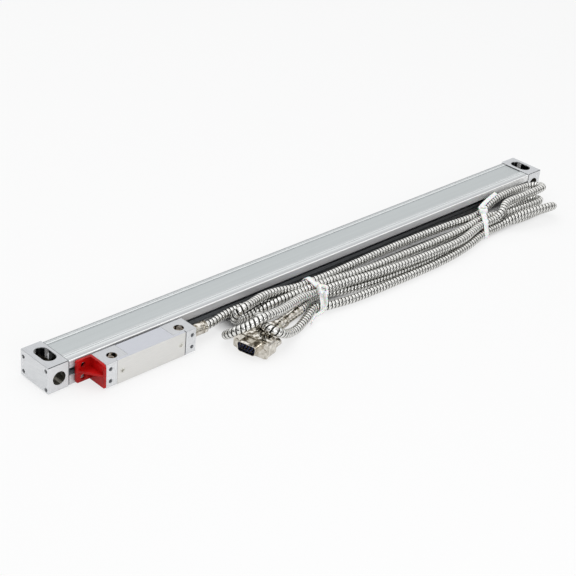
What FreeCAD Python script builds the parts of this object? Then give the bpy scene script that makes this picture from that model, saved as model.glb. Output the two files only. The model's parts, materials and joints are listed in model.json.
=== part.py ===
import FreeCAD, Part
import math
import os

# Enclosed linear glass scale: a slim aluminium housing that holds a ruled glass strip,
# a reader head that slides along it on ball rollers, and an armoured signal cable with
# a nine-way D plug. Millimetres. X runs along the scale, Y points to its back, Z is up.
# The origin is under the middle of the housing and head, on the surface they stand on.

# Driving dimensions of the housing
travel = 400.0
start_margin = 3.8
end_margin = 22.7
housing_depth = 33.0
block_height = 21.7
block_length = 17.6
gasket_thickness = 0.6
block_edge = 0.4
profile_front_inset = 0.3
profile_back_inset = 1.0
profile_top_inset = 0.7
profile_bottom_inset = 0.5
profile_edge_radius = 1.0
panel_recess = 0.5
panel_front_margin = 9.5
panel_back_margin = 4.9
line_groove_width = 0.7
line_groove_depth = 0.35
line_grooves_front = (5.9, 8.0)
line_grooves_back = (1.5, 3.3)

# Walls and chambers of the profile
front_wall = 4.3
top_wall = 2.2
bottom_wall = 1.9
back_wall = 4.6
relief_wall = 1.3
shelf_top = 9.1
shelf_thickness = 3.0

# Seal slot in the front wall and its two lips
slot_bottom = 8.8
slot_height = 6.1
lip_root_depth = 1.8
lip_root_height = 1.6
lip_face_inset = 0.6
lip_tip_depth = 2.9
lip_tip_thickness = 0.8
lip_fit = 0.05
slit_clearance = 0.2

# Glass strip, its bond and its ruled track
glass_edge_room = 3.1
glass_thickness = 2.6
glass_end_gap = 4.0
glass_back_gap = 0.4
bond_thickness = 0.3
bond_edge_gap = 0.6
track_width = 5.6
track_thickness = 0.08
track_edge_gap = 1.2

# End block screws, pocket and fixing holes
screw_inset_front = 2.7
screw_inset_back = 3.5
screw_heights_front = (2.7, 18.1)
screw_heights_back = (4.5, 16.6)
screw_head_radius = 1.5
screw_recess_radius = 1.65
screw_head_height = 1.6
screw_recess_depth = 8.6
screw_shank_radius = 1.05
screw_bite = 8.0
screw_fit = 0.05
blind_hole_spare = 0.6
bite_spare = 0.2
fixing_from_end = 9.4
fixing_height = 10.3
fixing_bore_radius = 5.4
fixing_hole_radius = 3.3
fixing_wall = 6.0
pocket_radius = 5.6
pocket_front_margin = 6.9
pocket_back_margin = 6.4
floor_slot_radius = 3.3
floor_slot_length = 13.0

# Reader head
head_length = 82.9
head_depth = 17.6
head_height = 20.1
head_floor_gap = 0.3
head_air_gap = 1.0
head_edge = 0.35
lug_length = 20.5
cover_from_end = 9.7
cover_thickness = 2.2
cover_top_thickness = 2.0
cover_back_step = 0.45
seam = 0.2
cover_screw_from_end = 14.3
cover_screw_head_radius = 2.4
cover_screw_head_height = 1.3
cover_screw_radius = 1.2
cover_screw_length = 5.2
lug_hole_from_end = 10.6
lug_hole_back = 9.7
lug_hole_radius = 2.25
counterbore_radius = 4.0
counterbore_depth = 4.8
face_hole_from_end = 3.8
face_hole_radius = 1.65
face_hole_depth = 6.5
face_hole_spacing = 10.0
set_screw_radius = 0.75
set_screw_length = 3.6
set_screw_from_end = 21.5
set_screw_sink = 0.1

# Inside the reader head
pocket_wall = 1.0
pocket_floor = 2.7
board_ledge = 3.4
board_level = 14.3
board_thickness = 1.6
board_fit = 0.15
board_screw_radius = 1.0
board_screw_head_radius = 1.5
board_screw_head_height = 1.2
board_screw_bite = 4.0
# Shares of the pocket's length and depth from its middle, and the height, of each board part
board_part_shares = [((-0.125, 0.125), (-0.21, 0.21), 1.5), ((0.225, 0.35), (-0.35, 0.35), 1.9),
                     ((-0.35, -0.25), (-0.32, -0.13), 1.8), ((-0.35, -0.25), (0.13, 0.32), 1.8)]
shelf_wall = 9.8
wire_trench = 2.4
wire_radius = 1.1
wire_channel_radius = 1.3
wire_offset_back = 1.7
wire_offset_up = 0.6

# Blade that carries the carriage through the lips
blade_thickness = 0.8
blade_root_gap = 0.1
blade_root_depth = 9.4
blade_right_reach = 26.0
blade_point = 7.0
blade_reach = 5.2
blade_screw_radius = 1.25
blade_screw_head_radius = 2.3
blade_screw_head_height = 1.5
blade_screw_bite = 6.0
blade_screw_inset = 4.0
blade_screw_setback = 0.8
lug_pad_length = 5.5
lug_pad_height = 3.4
link_radius = 0.5
link_free = 6.0
link_bite = 4.5
link_inset = 1.2
link_fit = 0.03
flex_width = 6.0
flex_thickness = 0.15

# Scanning carriage that rides on the glass
carriage_length = 44.0
carriage_front_gap = 0.8
carriage_web = 4.3
jaw_edge = 0.7
shelf_gap = 0.4
carriage_height = 15.0
carriage_floor_gap = 0.8
jaw_gap_above = 2.0
jaw_gap_below = 1.6
roller_radius = 3.0
roller_width = 2.3
roller_fit = 0.02
roller_pocket_gap = 0.5
axle_radius = 0.75
axle_fit = 0.05
face_roller_spacing = 34.0
face_roller_inset = 1.0
edge_roller_spacing = 22.0
edge_axle_bite = 3.0
reticle_length = 12.0
reticle_depth = 5.0
reticle_thickness = 0.9
sensor_board_length = 16.0
sensor_board_depth = 5.8
sensor_board_thickness = 1.0
lamp_radius = 2.0

# Cable gland
gland_from_back = 7.0
gland_height = 9.7
gland_stub_radius = 3.2
gland_stub_length = 6.2
gland_collar_radius = 5.3
gland_collar_length = 4.0
gland_sleeve_radius = 4.9
gland_sleeve_length = 13.8
gland_groove = 0.5
turned_edge = 0.4

# Transport bracket
bracket_reach = 14.2
bracket_thickness = 2.0
bracket_foot_height = 18.3
bracket_gusset = 1.8
bracket_gusset_height = 10.2
bracket_floor_gap = 1.0
gusset_setback = 1.5
gusset_nose = 0.6
bracket_gap = 0.1
bracket_corner = 3.0
bracket_hole_radius = 2.2
bracket_hole_from_edge = 5.8
bracket_hole_inset = 4.6
bracket_peg_radius = 1.2
bracket_peg_length = 4.5
bracket_peg_spacing = 11.0
bracket_peg_back = 9.0
peg_fit = 0.05

# Armoured hose and its D plug
hose_radius = 3.5
plug_face = (-131.3, -53.5)
plug_turn = 13.0
plug_level = 7.5
shell_width = 16.9
shell_height = 8.4
shell_reach = 5.9
shell_wall = 0.45
shell_corner = 2.4
shell_slant = 0.9
flange_width = 30.8
flange_height = 12.5
flange_thickness = 0.8
flange_corner = 1.5
insert_fit = 0.05
insert_front = 1.1
insert_back = 5.0
pin_pitch = 2.77
pin_row_gap = 2.84
pin_radius = 0.5
pin_front = 5.2
pin_back = 6.6
jack_pitch = 24.99
jack_radius = 1.4
jack_fit = 0.08
jack_head_radius = 2.9
jack_head_length = 7.5
jack_tip = 0.4
jack_head_gap = 0.3
jack_slot_depth = 1.2
jack_slot_half = 0.4
hood_width = 31.0
hood_height = 15.0
hood_ear = 10.5
hood_waist = 17.6
hood_waist_length = 11.0
hood_taper_length = 12.0
hood_neck_radius = 5.2
hood_neck_length = 4.5
hood_corner = 4.5
hood_pocket_gap = 0.5
pin_room = 2.5
hood_screw_radius = 1.2
hood_screw_head_radius = 2.1
hood_screw_head_height = 1.2
hood_screw_inset = 1.5
hood_slot_half = 0.3
hood_step = 0.5
hood_screw_spacing = 10.0
clamp_radius = 4.7
clamp_length = 7.0
clamp_flat_margin = 1.5
clamp_flat_depth = 0.5
ferrule_radius = 4.0
ferrule_length = 21.0

# Ties round the hank
tie_width = 4.6
tie_thickness = 1.1
tie_lock = (5.6, 6.6, 4.2)
tie_gap = 0.05
tie_places = (-24.0, 172.0)
tie_half_flat = 4.0

# Places worked out from the driving dimensions
profile_length = start_margin + bracket_reach + head_length + travel + end_margin
block_end = block_length + gasket_thickness
scale_length = profile_length + 2 * block_end
total_depth = housing_depth + head_air_gap + head_depth
left = -scale_length / 2
right = scale_length / 2
back = total_depth / 2
front = back - housing_depth
profile_left = left + block_end
profile_right = right - block_end
profile_front = front + profile_front_inset
profile_back = back - profile_back_inset
profile_bottom = profile_bottom_inset
profile_top = block_height - profile_top_inset
chamber_front = profile_front + front_wall
chamber_back = profile_back - back_wall
chamber_bottom = profile_bottom + bottom_wall
chamber_top = profile_top - top_wall
slot_top = slot_bottom + slot_height
slit_level = slot_bottom + slot_height / 2
slit_half = blade_thickness / 2 + slit_clearance
glass_bottom = shelf_top + bond_thickness
glass_top = glass_bottom + glass_thickness
glass_back = chamber_back - glass_back_gap
carriage_front = front + blade_reach + carriage_front_gap
glass_front = carriage_front + carriage_web + glass_edge_room
scan_y = glass_front + track_edge_gap + track_width / 2
carriage_back = scan_y + reticle_depth / 2 + jaw_edge
shelf_front = carriage_back + shelf_gap
head_left = profile_left + start_margin + bracket_reach
head_right = head_left + head_length
head_middle = (head_left + head_right) / 2
head_back = front - head_air_gap
head_front = head_back - head_depth
head_bottom = head_floor_gap
head_top = head_bottom + head_height
gland_y = head_back - gland_from_back
gland_z = head_bottom + gland_height


def vector(x, y, z):
    return FreeCAD.Vector(x, y, z)


def box(x0, x1, y0, y1, z0, z1):
    """Block between two corners."""
    return Part.makeBox(x1 - x0, y1 - y0, z1 - z0, vector(x0, y0, z0))


def rod(start, direction, radius, length):
    """Round bar from a start point along a direction."""
    return Part.makeCylinder(radius, length, vector(*start), vector(*direction))


def bar_along_x(points, x0, x1):
    """Outline of (y, z) corners drawn out along X."""
    corners = [vector(x0, y, z) for y, z in points]
    face = Part.Face(Part.makePolygon(corners + corners[:1]))
    return face.extrude(vector(x1 - x0, 0, 0))


def plate(points, z0, z1):
    """Outline of (x, y) corners drawn upwards."""
    corners = [vector(x, y, z0) for x, y in points]
    face = Part.Face(Part.makePolygon(corners + corners[:1]))
    return face.extrude(vector(0, 0, z1 - z0))


def obround(x, y0, y1, radius, z0, z1):
    """Slot along Y with round ends, cut from z0 to z1."""
    ends = [rod((x, y, z0), (0, 0, 1), radius, z1 - z0) for y in (y0 + radius, y1 - radius)]
    middle = box(x - radius, x + radius, y0 + radius, y1 - radius, z0, z1)
    return middle.fuse(ends).removeSplitter()


def edges_along(shape, axis, length):
    """Straight edges of a shape that run the given length along one axis."""
    chosen = []
    for edge in shape.Edges:
        size = edge.BoundBox
        spans = {"x": size.XLength, "y": size.YLength, "z": size.ZLength}
        others = [span for name, span in spans.items() if name != axis]
        if abs(spans[axis] - length) < 1e-6 and max(others) < 1e-6:
            chosen.append(edge)
    return chosen


def write(node, *solids):
    """One STEP file for a sub-part, whose solids stay separate."""
    for solid in solids:
        if not solid.isValid() or solid.Volume <= 0:
            raise ValueError(node + " is not a sound solid")
    shape = solids[0] if len(solids) == 1 else Part.makeCompound(list(solids))
    shape.exportStep("parts/" + node + ".step")
    volume = sum(solid.Volume for solid in solids)
    print("%-24s %d solids %10.1f mm3" % (node, len(solids), volume))


def corner_screw_places():
    """The four (y, z) places of the end block screws."""
    return ([(front + screw_inset_front, z) for z in screw_heights_front]
            + [(back - screw_inset_back, z) for z in screw_heights_back])


# Housing profile
def profile_bar():
    """Outside of the profile with its rounded long edges."""
    outline = [(profile_front, profile_bottom), (profile_back, profile_bottom),
               (profile_back, profile_top), (profile_front, profile_top)]
    bar = bar_along_x(outline, profile_left, profile_right)
    long_edges = edges_along(bar, "x", profile_length)
    return bar.makeFillet(profile_edge_radius * 0.9, long_edges)


def profile_cuts():
    """Chamber, seal slot, screw ports, relief and the lines on top."""
    x0 = profile_left
    x1 = profile_right
    shelf_bottom = shelf_top - shelf_thickness
    chamber = bar_along_x([(chamber_front, chamber_bottom), (chamber_back, chamber_bottom),
                           (chamber_back, shelf_bottom), (shelf_front, shelf_bottom),
                           (shelf_front, shelf_top), (chamber_back, shelf_top),
                           (chamber_back, chamber_top), (chamber_front, chamber_top)], x0, x1)
    slot = box(x0, x1, profile_front, chamber_front, slot_bottom, slot_top)
    root_front = profile_front + (front_wall - lip_root_depth) / 2
    roots = box(x0, x1, root_front, root_front + lip_root_depth,
                slot_bottom - lip_root_height, slot_top + lip_root_height)
    relief_low = screw_heights_back[0] + screw_recess_radius
    relief_high = screw_heights_back[1] - screw_recess_radius
    relief = box(x0, x1, chamber_back + relief_wall, profile_back - relief_wall,
                 relief_low, relief_high)
    cuts = [chamber, slot, roots, relief]
    for y, z in corner_screw_places():
        cuts.append(rod((x0, y, z), (1, 0, 0), screw_shank_radius + screw_fit, x1 - x0))
    top = profile_top
    panel_y0 = profile_front + panel_front_margin
    panel_y1 = profile_back - panel_back_margin
    cuts.append(box(x0, x1, panel_y0, panel_y1, top - panel_recess, top))
    line_places = [profile_front + place for place in line_grooves_front]
    line_places += [profile_back - place for place in line_grooves_back]
    for y in line_places:
        y0 = y - line_groove_width / 2
        cuts.append(box(x0, x1, y0, y0 + line_groove_width, top - line_groove_depth, top))
    return cuts


def housing_profile():
    return profile_bar().cut(profile_cuts())


def seal_lip(side):
    """Rubber lip whose root sits in the profile's groove; side is +1 above the slit, -1 below."""
    seat = slot_top if side > 0 else slot_bottom
    tip = slit_level + side * slit_half
    face = profile_front + lip_face_inset
    groove = profile_front + (front_wall - lip_root_depth) / 2
    outline = [(face, seat - side * lip_fit), (face, seat - side * lip_tip_thickness),
               (profile_front + lip_tip_depth - lip_tip_thickness, tip),
               (profile_front + lip_tip_depth, tip),
               (profile_front + lip_tip_depth, tip + side * lip_tip_thickness),
               (chamber_front - lip_fit, seat - side * lip_tip_thickness),
               (chamber_front - lip_fit, seat - side * lip_fit),
               (groove + lip_root_depth - lip_fit, seat - side * lip_fit),
               (groove + lip_root_depth - lip_fit, seat + side * (lip_root_height - lip_fit)),
               (groove + lip_fit, seat + side * (lip_root_height - lip_fit)),
               (groove + lip_fit, seat - side * lip_fit)]
    return bar_along_x(outline, profile_left, profile_right)


def glass_strip():
    return box(profile_left + glass_end_gap, profile_right - glass_end_gap,
               glass_front, glass_back, glass_bottom, glass_top)


def glass_bond():
    return box(profile_left + glass_end_gap, profile_right - glass_end_gap,
               shelf_front + bond_edge_gap, glass_back - glass_back_gap, shelf_top, glass_bottom)


def ruled_track():
    """Thin ruled chrome layer on the underside of the glass, clear of its shelf."""
    y0 = glass_front + track_edge_gap
    return box(profile_left + glass_end_gap, profile_right - glass_end_gap,
               y0, y0 + track_width, glass_bottom - track_thickness, glass_bottom)


def end_gasket(x0):
    sheet = box(x0, x0 + gasket_thickness, profile_front, profile_back, profile_bottom, profile_top)
    upright = edges_along(sheet, "x", gasket_thickness)
    sheet = sheet.makeFillet(profile_edge_radius, upright)
    holes = [rod((x0, y, z), (1, 0, 0), screw_shank_radius + screw_fit, gasket_thickness)
             for y, z in corner_screw_places()]
    return sheet.cut(holes)


def end_block(side):
    """Machined block for one end; side is -1 on the left and +1 on the right."""
    outer = left if side < 0 else right
    inner = outer - side * block_length
    x0 = min(outer, inner)
    x1 = max(outer, inner)
    middle = outer - side * fixing_from_end
    block = box(x0, x1, front, back, 0, block_height)
    block = block.makeChamfer(block_edge, block.Edges)
    pocket = obround(middle, front + pocket_front_margin, back - pocket_back_margin,
                     pocket_radius, fixing_height, block_height)
    bore = rod((middle, front, fixing_height), (0, 1, 0), fixing_bore_radius,
               housing_depth - fixing_wall)
    hole = rod((middle, back - fixing_wall, fixing_height), (0, 1, 0), fixing_hole_radius,
               fixing_wall)
    slot_middle = (front + pocket_front_margin + back - pocket_back_margin) / 2
    floor_slot = obround(middle, slot_middle - floor_slot_length / 2,
                         slot_middle + floor_slot_length / 2, floor_slot_radius,
                         0, fixing_height)
    cuts = [pocket, bore, hole, floor_slot]
    for y, z in corner_screw_places():
        cuts.append(rod((outer, y, z), (-side, 0, 0), screw_recess_radius, screw_recess_depth))
        cuts.append(rod((outer, y, z), (-side, 0, 0), screw_shank_radius + screw_fit, block_length))
    return block.cut(cuts)


def end_screws(side):
    """Four screws that run through a block's corners into the profile's ports."""
    outer = left if side < 0 else right
    screws = []
    for y, z in corner_screw_places():
        seat = outer - side * screw_recess_depth
        head = rod((seat, y, z), (side, 0, 0), screw_head_radius, screw_head_height)
        shank_length = block_end - screw_recess_depth + screw_bite
        shank = rod((seat, y, z), (-side, 0, 0), screw_shank_radius, shank_length)
        socket = rod((seat + side * screw_head_height, y, z), (-side, 0, 0),
                     screw_head_radius * 0.5, screw_head_height * 0.6)
        screws.append(head.fuse(shank).cut(socket))
    return screws


# Reader head
cover_left = head_left + cover_from_end
cover_right = head_right - cover_left + head_left
cover_top_left = head_left + lug_length
cover_top_right = head_right - lug_length
cover_back = head_back - cover_back_step
face_back = head_front + cover_thickness
cover_under = head_top - cover_top_thickness
pocket_left = cover_top_left + pocket_wall
pocket_right = cover_top_right - pocket_wall
pocket_length = pocket_right - pocket_left
blade_root_length = pocket_length - 2 * board_ledge - blade_root_gap
blade_bottom = slit_level - blade_thickness / 2
blade_top = slit_level + blade_thickness / 2
pocket_back = head_back - pocket_wall
shelf_line = head_back - shelf_wall
blade_screw_y = head_back - blade_root_depth / 2 - blade_screw_setback


def lug_hole_places():
    y = head_back - lug_hole_back
    return [(head_left + lug_hole_from_end, y), (head_right - lug_hole_from_end, y)]


def face_hole_places():
    middle = head_bottom + head_height / 2
    return [(x, z) for x in (head_left + face_hole_from_end, head_right - face_hole_from_end)
            for z in (middle - face_hole_spacing / 2, middle + face_hole_spacing / 2)]


def cover_screw_places():
    z = head_bottom + head_height / 2
    return [(head_left + cover_screw_from_end, z), (head_right - cover_screw_from_end, z)]


def blade_screw_places():
    reach = blade_root_length / 2 - blade_screw_inset
    return [(head_middle - reach, blade_screw_y), (head_middle + reach, blade_screw_y)]


def board_screw_places():
    y = (face_back + pocket_back) / 2
    return [(pocket_left + board_ledge / 2, y), (pocket_right - board_ledge / 2, y)]


def peg_places():
    middle = head_bottom + head_height / 2
    y = head_back - bracket_peg_back
    return [(y, middle - bracket_peg_spacing / 2), (y, middle + bracket_peg_spacing / 2)]


def head_body():
    """Machined body with a lug at each end and a pocket for the electronics."""
    body = box(head_left, head_right, head_front, head_back, head_bottom, head_top)
    body = body.makeChamfer(head_edge, body.Edges)
    cuts = [box(cover_left, cover_right, head_front, face_back, head_bottom, head_top),
            box(cover_top_left, cover_top_right, face_back, head_back, cover_under, head_top),
            box(pocket_left, pocket_right, face_back, pocket_back, board_level, cover_under),
            box(pocket_left + board_ledge, pocket_right - board_ledge, face_back, shelf_line,
                head_bottom + pocket_floor, board_level),
            box(pocket_left + board_ledge, pocket_right - board_ledge, shelf_line, pocket_back,
                blade_top, board_level),
            box(head_middle - blade_root_length / 2 - slit_clearance,
                head_middle + blade_root_length / 2 + slit_clearance,
                shelf_line, head_back, blade_bottom, blade_top),
            box(head_middle - flex_width, head_middle + flex_width, pocket_back, head_back,
                blade_top, blade_top + 2 * flex_thickness),
            box(pocket_right - board_ledge, pocket_right - board_ledge + wire_trench,
                face_back, gland_y + wire_offset_back + wire_channel_radius,
                gland_z - wire_channel_radius, board_level)]
    for x, y in lug_hole_places():
        cuts.append(rod((x, y, head_bottom), (0, 0, 1), lug_hole_radius, head_height))
        cuts.append(rod((x, y, head_top), (0, 0, -1), counterbore_radius, counterbore_depth))
    for x, z in face_hole_places():
        cuts.append(rod((x, head_front, z), (0, 1, 0), face_hole_radius, face_hole_depth))
    for x, z in cover_screw_places():
        cuts.append(rod((x, head_front, z), (0, 1, 0), cover_screw_radius + screw_fit,
                        cover_screw_length + blind_hole_spare))
    for x, y in blade_screw_places():
        cuts.append(rod((x, y, blade_bottom), (0, 0, -1), blade_screw_radius + screw_fit,
                        blade_screw_bite))
    for x, y in board_screw_places():
        cuts.append(rod((x, y, board_level), (0, 0, -1), board_screw_radius + screw_fit,
                        board_screw_bite))
    for y, z in peg_places():
        cuts.append(rod((head_left, y, z), (1, 0, 0), bracket_peg_radius + peg_fit,
                        bracket_peg_length + peg_fit))
    cuts.append(rod((head_right, gland_y, gland_z), (-1, 0, 0), gland_stub_radius + screw_fit,
                    gland_stub_length))
    wire_end = pocket_right - board_ledge + wire_trench / 2
    cuts.append(rod((head_right - gland_stub_length, gland_y + wire_offset_back,
                     gland_z + wire_offset_up), (-1, 0, 0), wire_channel_radius,
                    head_right - gland_stub_length - wire_end))
    return body.cut(cuts)


def head_cover():
    """One bent cover: a face plate over the lugs' inner halves and a lid over the pocket."""
    face = box(cover_left + seam, cover_right - seam, head_front, face_back - seam / 4,
               head_bottom, head_top)
    lid = box(cover_top_left + seam, cover_top_right - seam, head_front, cover_back,
              cover_under + seam / 4, head_top)
    cover = face.fuse(lid).removeSplitter()
    cuts = []
    for x, z in cover_screw_places():
        cuts.append(Part.makeCone(cover_screw_head_radius + screw_fit, cover_screw_radius + screw_fit,
                                  cover_screw_head_height, vector(x, head_front, z), vector(0, 1, 0)))
        cuts.append(rod((x, head_front, z), (0, 1, 0), cover_screw_radius + screw_fit,
                        cover_thickness))
    x = head_left + set_screw_from_end
    y = head_front + cover_thickness / 2
    cuts.append(rod((x, y, head_bottom), (0, 0, 1), set_screw_radius + screw_fit, set_screw_length))
    return cover.cut(cuts)


def cover_screws():
    """Two countersunk screws with cross recesses."""
    screws = []
    for x, z in cover_screw_places():
        head = Part.makeCone(cover_screw_head_radius, cover_screw_radius, cover_screw_head_height,
                             vector(x, head_front, z), vector(0, 1, 0))
        shank = rod((x, head_front + cover_screw_head_height, z), (0, 1, 0), cover_screw_radius,
                    cover_screw_length - cover_screw_head_height)
        arm = cover_screw_head_radius * 0.6
        slot = cover_screw_head_radius * 0.18
        depth = cover_screw_head_height * 0.5
        cross = [box(x - arm, x + arm, head_front, head_front + depth, z - slot, z + slot),
                 box(x - slot, x + slot, head_front, head_front + depth, z - arm, z + arm)]
        screws.append(head.fuse(shank).cut(cross))
    return screws


def cover_set_screw():
    """Small screw that shows under the cover's front edge."""
    x = head_left + set_screw_from_end
    y = head_front + cover_thickness / 2
    return rod((x, y, set_screw_sink), (0, 0, 1), set_screw_radius, set_screw_length)


def signal_board():
    board = box(pocket_left + board_fit, pocket_right - board_fit, face_back + board_fit,
                pocket_back - board_fit, board_level, board_level + board_thickness)
    holes = [rod((x, y, board_level), (0, 0, 1), board_screw_radius + screw_fit, board_thickness)
             for x, y in board_screw_places()]
    return board.cut(holes)


def board_parts():
    """Amplifier chip, plug header and two capacitors on the board."""
    top = board_level + board_thickness
    y = (face_back + pocket_back) / 2
    depth = pocket_back - face_back

    def block(x_shares, y_shares, height):
        return box(head_middle + x_shares[0] * pocket_length, head_middle + x_shares[1] * pocket_length,
                   y + y_shares[0] * depth, y + y_shares[1] * depth, top, top + height)

    return [block(*shares) for shares in board_part_shares]


def pan_screw(x, y, seat, radius, head_radius, head_height, bite):
    """Upright screw with a domed head that clamps down on a seat."""
    head = rod((x, y, seat), (0, 0, 1), head_radius, head_height)
    rim = [edge for edge in head.Edges if abs(edge.BoundBox.ZMin - seat - head_height) < 1e-6]
    head = head.makeFillet(head_height * 0.4, rim)
    return head.fuse(rod((x, y, seat), (0, 0, -1), radius, bite))


def board_screws():
    return [pan_screw(x, y, board_level + board_thickness, board_screw_radius,
                      board_screw_head_radius, board_screw_head_height,
                      board_thickness + board_screw_bite - bite_spare)
            for x, y in board_screw_places()]


def link_y():
    return carriage_front + link_inset


def link_start():
    """Left face of the blade's inner lug, where the link begins."""
    return head_middle - carriage_length / 2 - link_free - lug_pad_length


def coupling_blade():
    """Thin sword that passes between the lips, its root in the head and a lug in the chamber."""
    root = box(head_middle - blade_root_length / 2, head_middle + blade_root_length / 2,
               head_back - blade_root_depth, head_back + head_air_gap / 2, blade_bottom, blade_top)
    y0 = head_back + head_air_gap / 2
    y1 = front + blade_reach
    middle = (y0 + y1) / 2
    x0 = link_start()
    x1 = head_middle + blade_right_reach
    sword = plate([(x0, y0), (x1 - blade_point, y0), (x1, middle), (x1 - blade_point, y1),
                   (x0, y1), (x0 - blade_point, middle)], blade_bottom, blade_top)
    pad = box(x0, x0 + lug_pad_length, chamber_front + slit_clearance, link_y() + link_inset,
              slit_level - lug_pad_height / 2, slit_level + lug_pad_height / 2)
    blade = root.fuse([sword, pad]).removeSplitter()
    cuts = [rod((px, py, blade_bottom), (0, 0, 1), blade_screw_radius + screw_fit, blade_thickness)
            for px, py in blade_screw_places()]
    cuts.append(rod((x0, link_y(), slit_level), (1, 0, 0), link_radius + link_fit,
                    lug_pad_length))
    return blade.cut(cuts)


def blade_screws():
    return [pan_screw(x, y, blade_top, blade_screw_radius, blade_screw_head_radius,
                      blade_screw_head_height, blade_thickness + blade_screw_bite - bite_spare)
            for x, y in blade_screw_places()]


def coupling_link():
    """Spring wire that draws the carriage along and lets it float on the glass."""
    return rod((link_start(), link_y(), slit_level), (1, 0, 0), link_radius,
               lug_pad_length + link_free + link_bite)


def signal_flex():
    """Printed lead on top of the blade, from the head to the carriage."""
    x0 = head_middle - flex_width / 2
    return box(x0, x0 + flex_width, head_back - blade_root_depth / 2,
               carriage_front - slit_clearance, blade_top, blade_top + flex_thickness)


def signal_wires():
    """Cable core between the gland and the board's pocket."""
    x0 = pocket_right - board_ledge + wire_trench / 2
    x1 = head_right - gland_stub_length
    return rod((x0, gland_y + wire_offset_back, gland_z + wire_offset_up), (1, 0, 0),
               wire_radius, x1 - x0)


# Scanning carriage
carriage_bottom = chamber_bottom + carriage_floor_gap
carriage_top = carriage_bottom + carriage_height
upper_jaw = glass_top + jaw_gap_above
lower_jaw = glass_bottom - jaw_gap_below
face_roller_y = glass_front + track_edge_gap + roller_width / 2 + face_roller_inset
face_roller_z = glass_top + roller_fit + roller_radius
edge_roller_y = glass_front - roller_fit - roller_radius
edge_roller_z = (glass_bottom + glass_top) / 2


def face_roller_places():
    return [head_middle + side * face_roller_spacing / 2 for side in (-1, 1)]


def edge_roller_places():
    return [head_middle + side * edge_roller_spacing / 2 for side in (-1, 1)]


def scanning_carriage():
    """Forked slider that straddles the free edge of the glass."""
    x0 = head_middle - carriage_length / 2
    x1 = head_middle + carriage_length / 2
    y0 = carriage_front
    y1 = carriage_back
    web = y0 + carriage_web
    fork = bar_along_x([(y0, carriage_bottom), (y1, carriage_bottom), (y1, lower_jaw),
                        (web, lower_jaw), (web, upper_jaw), (y1, upper_jaw),
                        (y1, carriage_top), (y0, carriage_top)], x0, x1)
    gap = roller_pocket_gap
    cuts = []
    for x in face_roller_places():
        cuts.append(box(x - roller_radius - gap, x + roller_radius + gap,
                        face_roller_y - roller_width / 2 - gap,
                        face_roller_y + roller_width / 2 + gap, upper_jaw, carriage_top))
        cuts.append(rod((x, web, face_roller_z), (0, 1, 0), axle_radius, y1 - web))
    for x in edge_roller_places():
        cuts.append(box(x - roller_radius - gap, x + roller_radius + gap, y0, y1,
                        edge_roller_z - roller_width / 2 - gap,
                        edge_roller_z + roller_width / 2 + gap))
        cuts.append(rod((x, edge_roller_y, carriage_bottom), (0, 0, 1), axle_radius,
                        carriage_height))
    cuts.append(rod((x0, link_y(), slit_level), (1, 0, 0), link_radius + link_fit,
                    link_bite + slit_clearance))
    cuts.append(box(head_middle - reticle_length / 2, head_middle + reticle_length / 2,
                    scan_y - reticle_depth / 2, scan_y + reticle_depth / 2,
                    lower_jaw - reticle_thickness / 2, lower_jaw))
    cuts.append(box(head_middle - sensor_board_length / 2, head_middle + sensor_board_length / 2,
                    scan_y - sensor_board_depth / 2, scan_y + sensor_board_depth / 2,
                    carriage_bottom, carriage_bottom + sensor_board_thickness))
    cuts.append(box(head_middle - reticle_length / 3, head_middle + reticle_length / 3,
                    scan_y - reticle_depth / 3, scan_y + reticle_depth / 3,
                    carriage_bottom, lower_jaw))
    cuts.append(rod((head_middle, scan_y, upper_jaw), (0, 0, 1), lamp_radius + screw_fit,
                    carriage_top - upper_jaw))
    return fork.cut(cuts)


def roller(x, y, z, axis):
    """Small grooved ball-bearing ring on its axle."""
    start = [x, y, z]
    which = axis.index(1)
    start[which] -= roller_width / 2
    ring = rod(start, axis, roller_radius, roller_width)
    ring = ring.makeFillet(0.25, ring.Edges[0:1] + ring.Edges[2:3])
    return ring.cut(rod(start, axis, axle_radius + axle_fit, roller_width))


def face_axles():
    y0 = carriage_front + carriage_web
    length = carriage_back - y0
    return [rod((x, y0, face_roller_z), (0, 1, 0), axle_radius, length)
            for x in face_roller_places()]


def edge_axles():
    reach = roller_width / 2 + roller_pocket_gap + edge_axle_bite
    return [rod((x, edge_roller_y, edge_roller_z - reach), (0, 0, 1), axle_radius, 2 * reach)
            for x in edge_roller_places()]


def scanning_reticle():
    return box(head_middle - reticle_length / 2 + board_fit,
               head_middle + reticle_length / 2 - board_fit,
               scan_y - reticle_depth / 2 + board_fit, scan_y + reticle_depth / 2 - board_fit,
               lower_jaw - reticle_thickness / 2, lower_jaw + reticle_thickness / 2)


def sensor_board():
    return box(head_middle - sensor_board_length / 2 + board_fit,
               head_middle + sensor_board_length / 2 - board_fit,
               scan_y - sensor_board_depth / 2 + board_fit,
               scan_y + sensor_board_depth / 2 - board_fit,
               carriage_bottom, carriage_bottom + sensor_board_thickness)


def scan_lamp():
    """Light diode in its sleeve, shining down through the glass."""
    body = rod((head_middle, scan_y, upper_jaw), (0, 0, 1), lamp_radius,
               carriage_top - upper_jaw)
    lens = Part.makeSphere(lamp_radius * 0.7, vector(head_middle, scan_y, upper_jaw))
    return body.fuse(lens)


# Gland and bracket
def gland_collar():
    """Threaded stub in the head's end with a round collar outside."""
    stub = rod((head_right, gland_y, gland_z), (-1, 0, 0), gland_stub_radius, gland_stub_length)
    collar = rod((head_right, gland_y, gland_z), (1, 0, 0), gland_collar_radius,
                 gland_collar_length)
    collar = collar.makeChamfer(turned_edge, [edge for edge in collar.Edges if edge.Length > 10])
    bore = rod((head_right - gland_stub_length, gland_y, gland_z), (1, 0, 0),
               gland_stub_radius * 0.6, gland_stub_length + gland_collar_length)
    return stub.fuse(collar).cut(bore)


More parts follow.
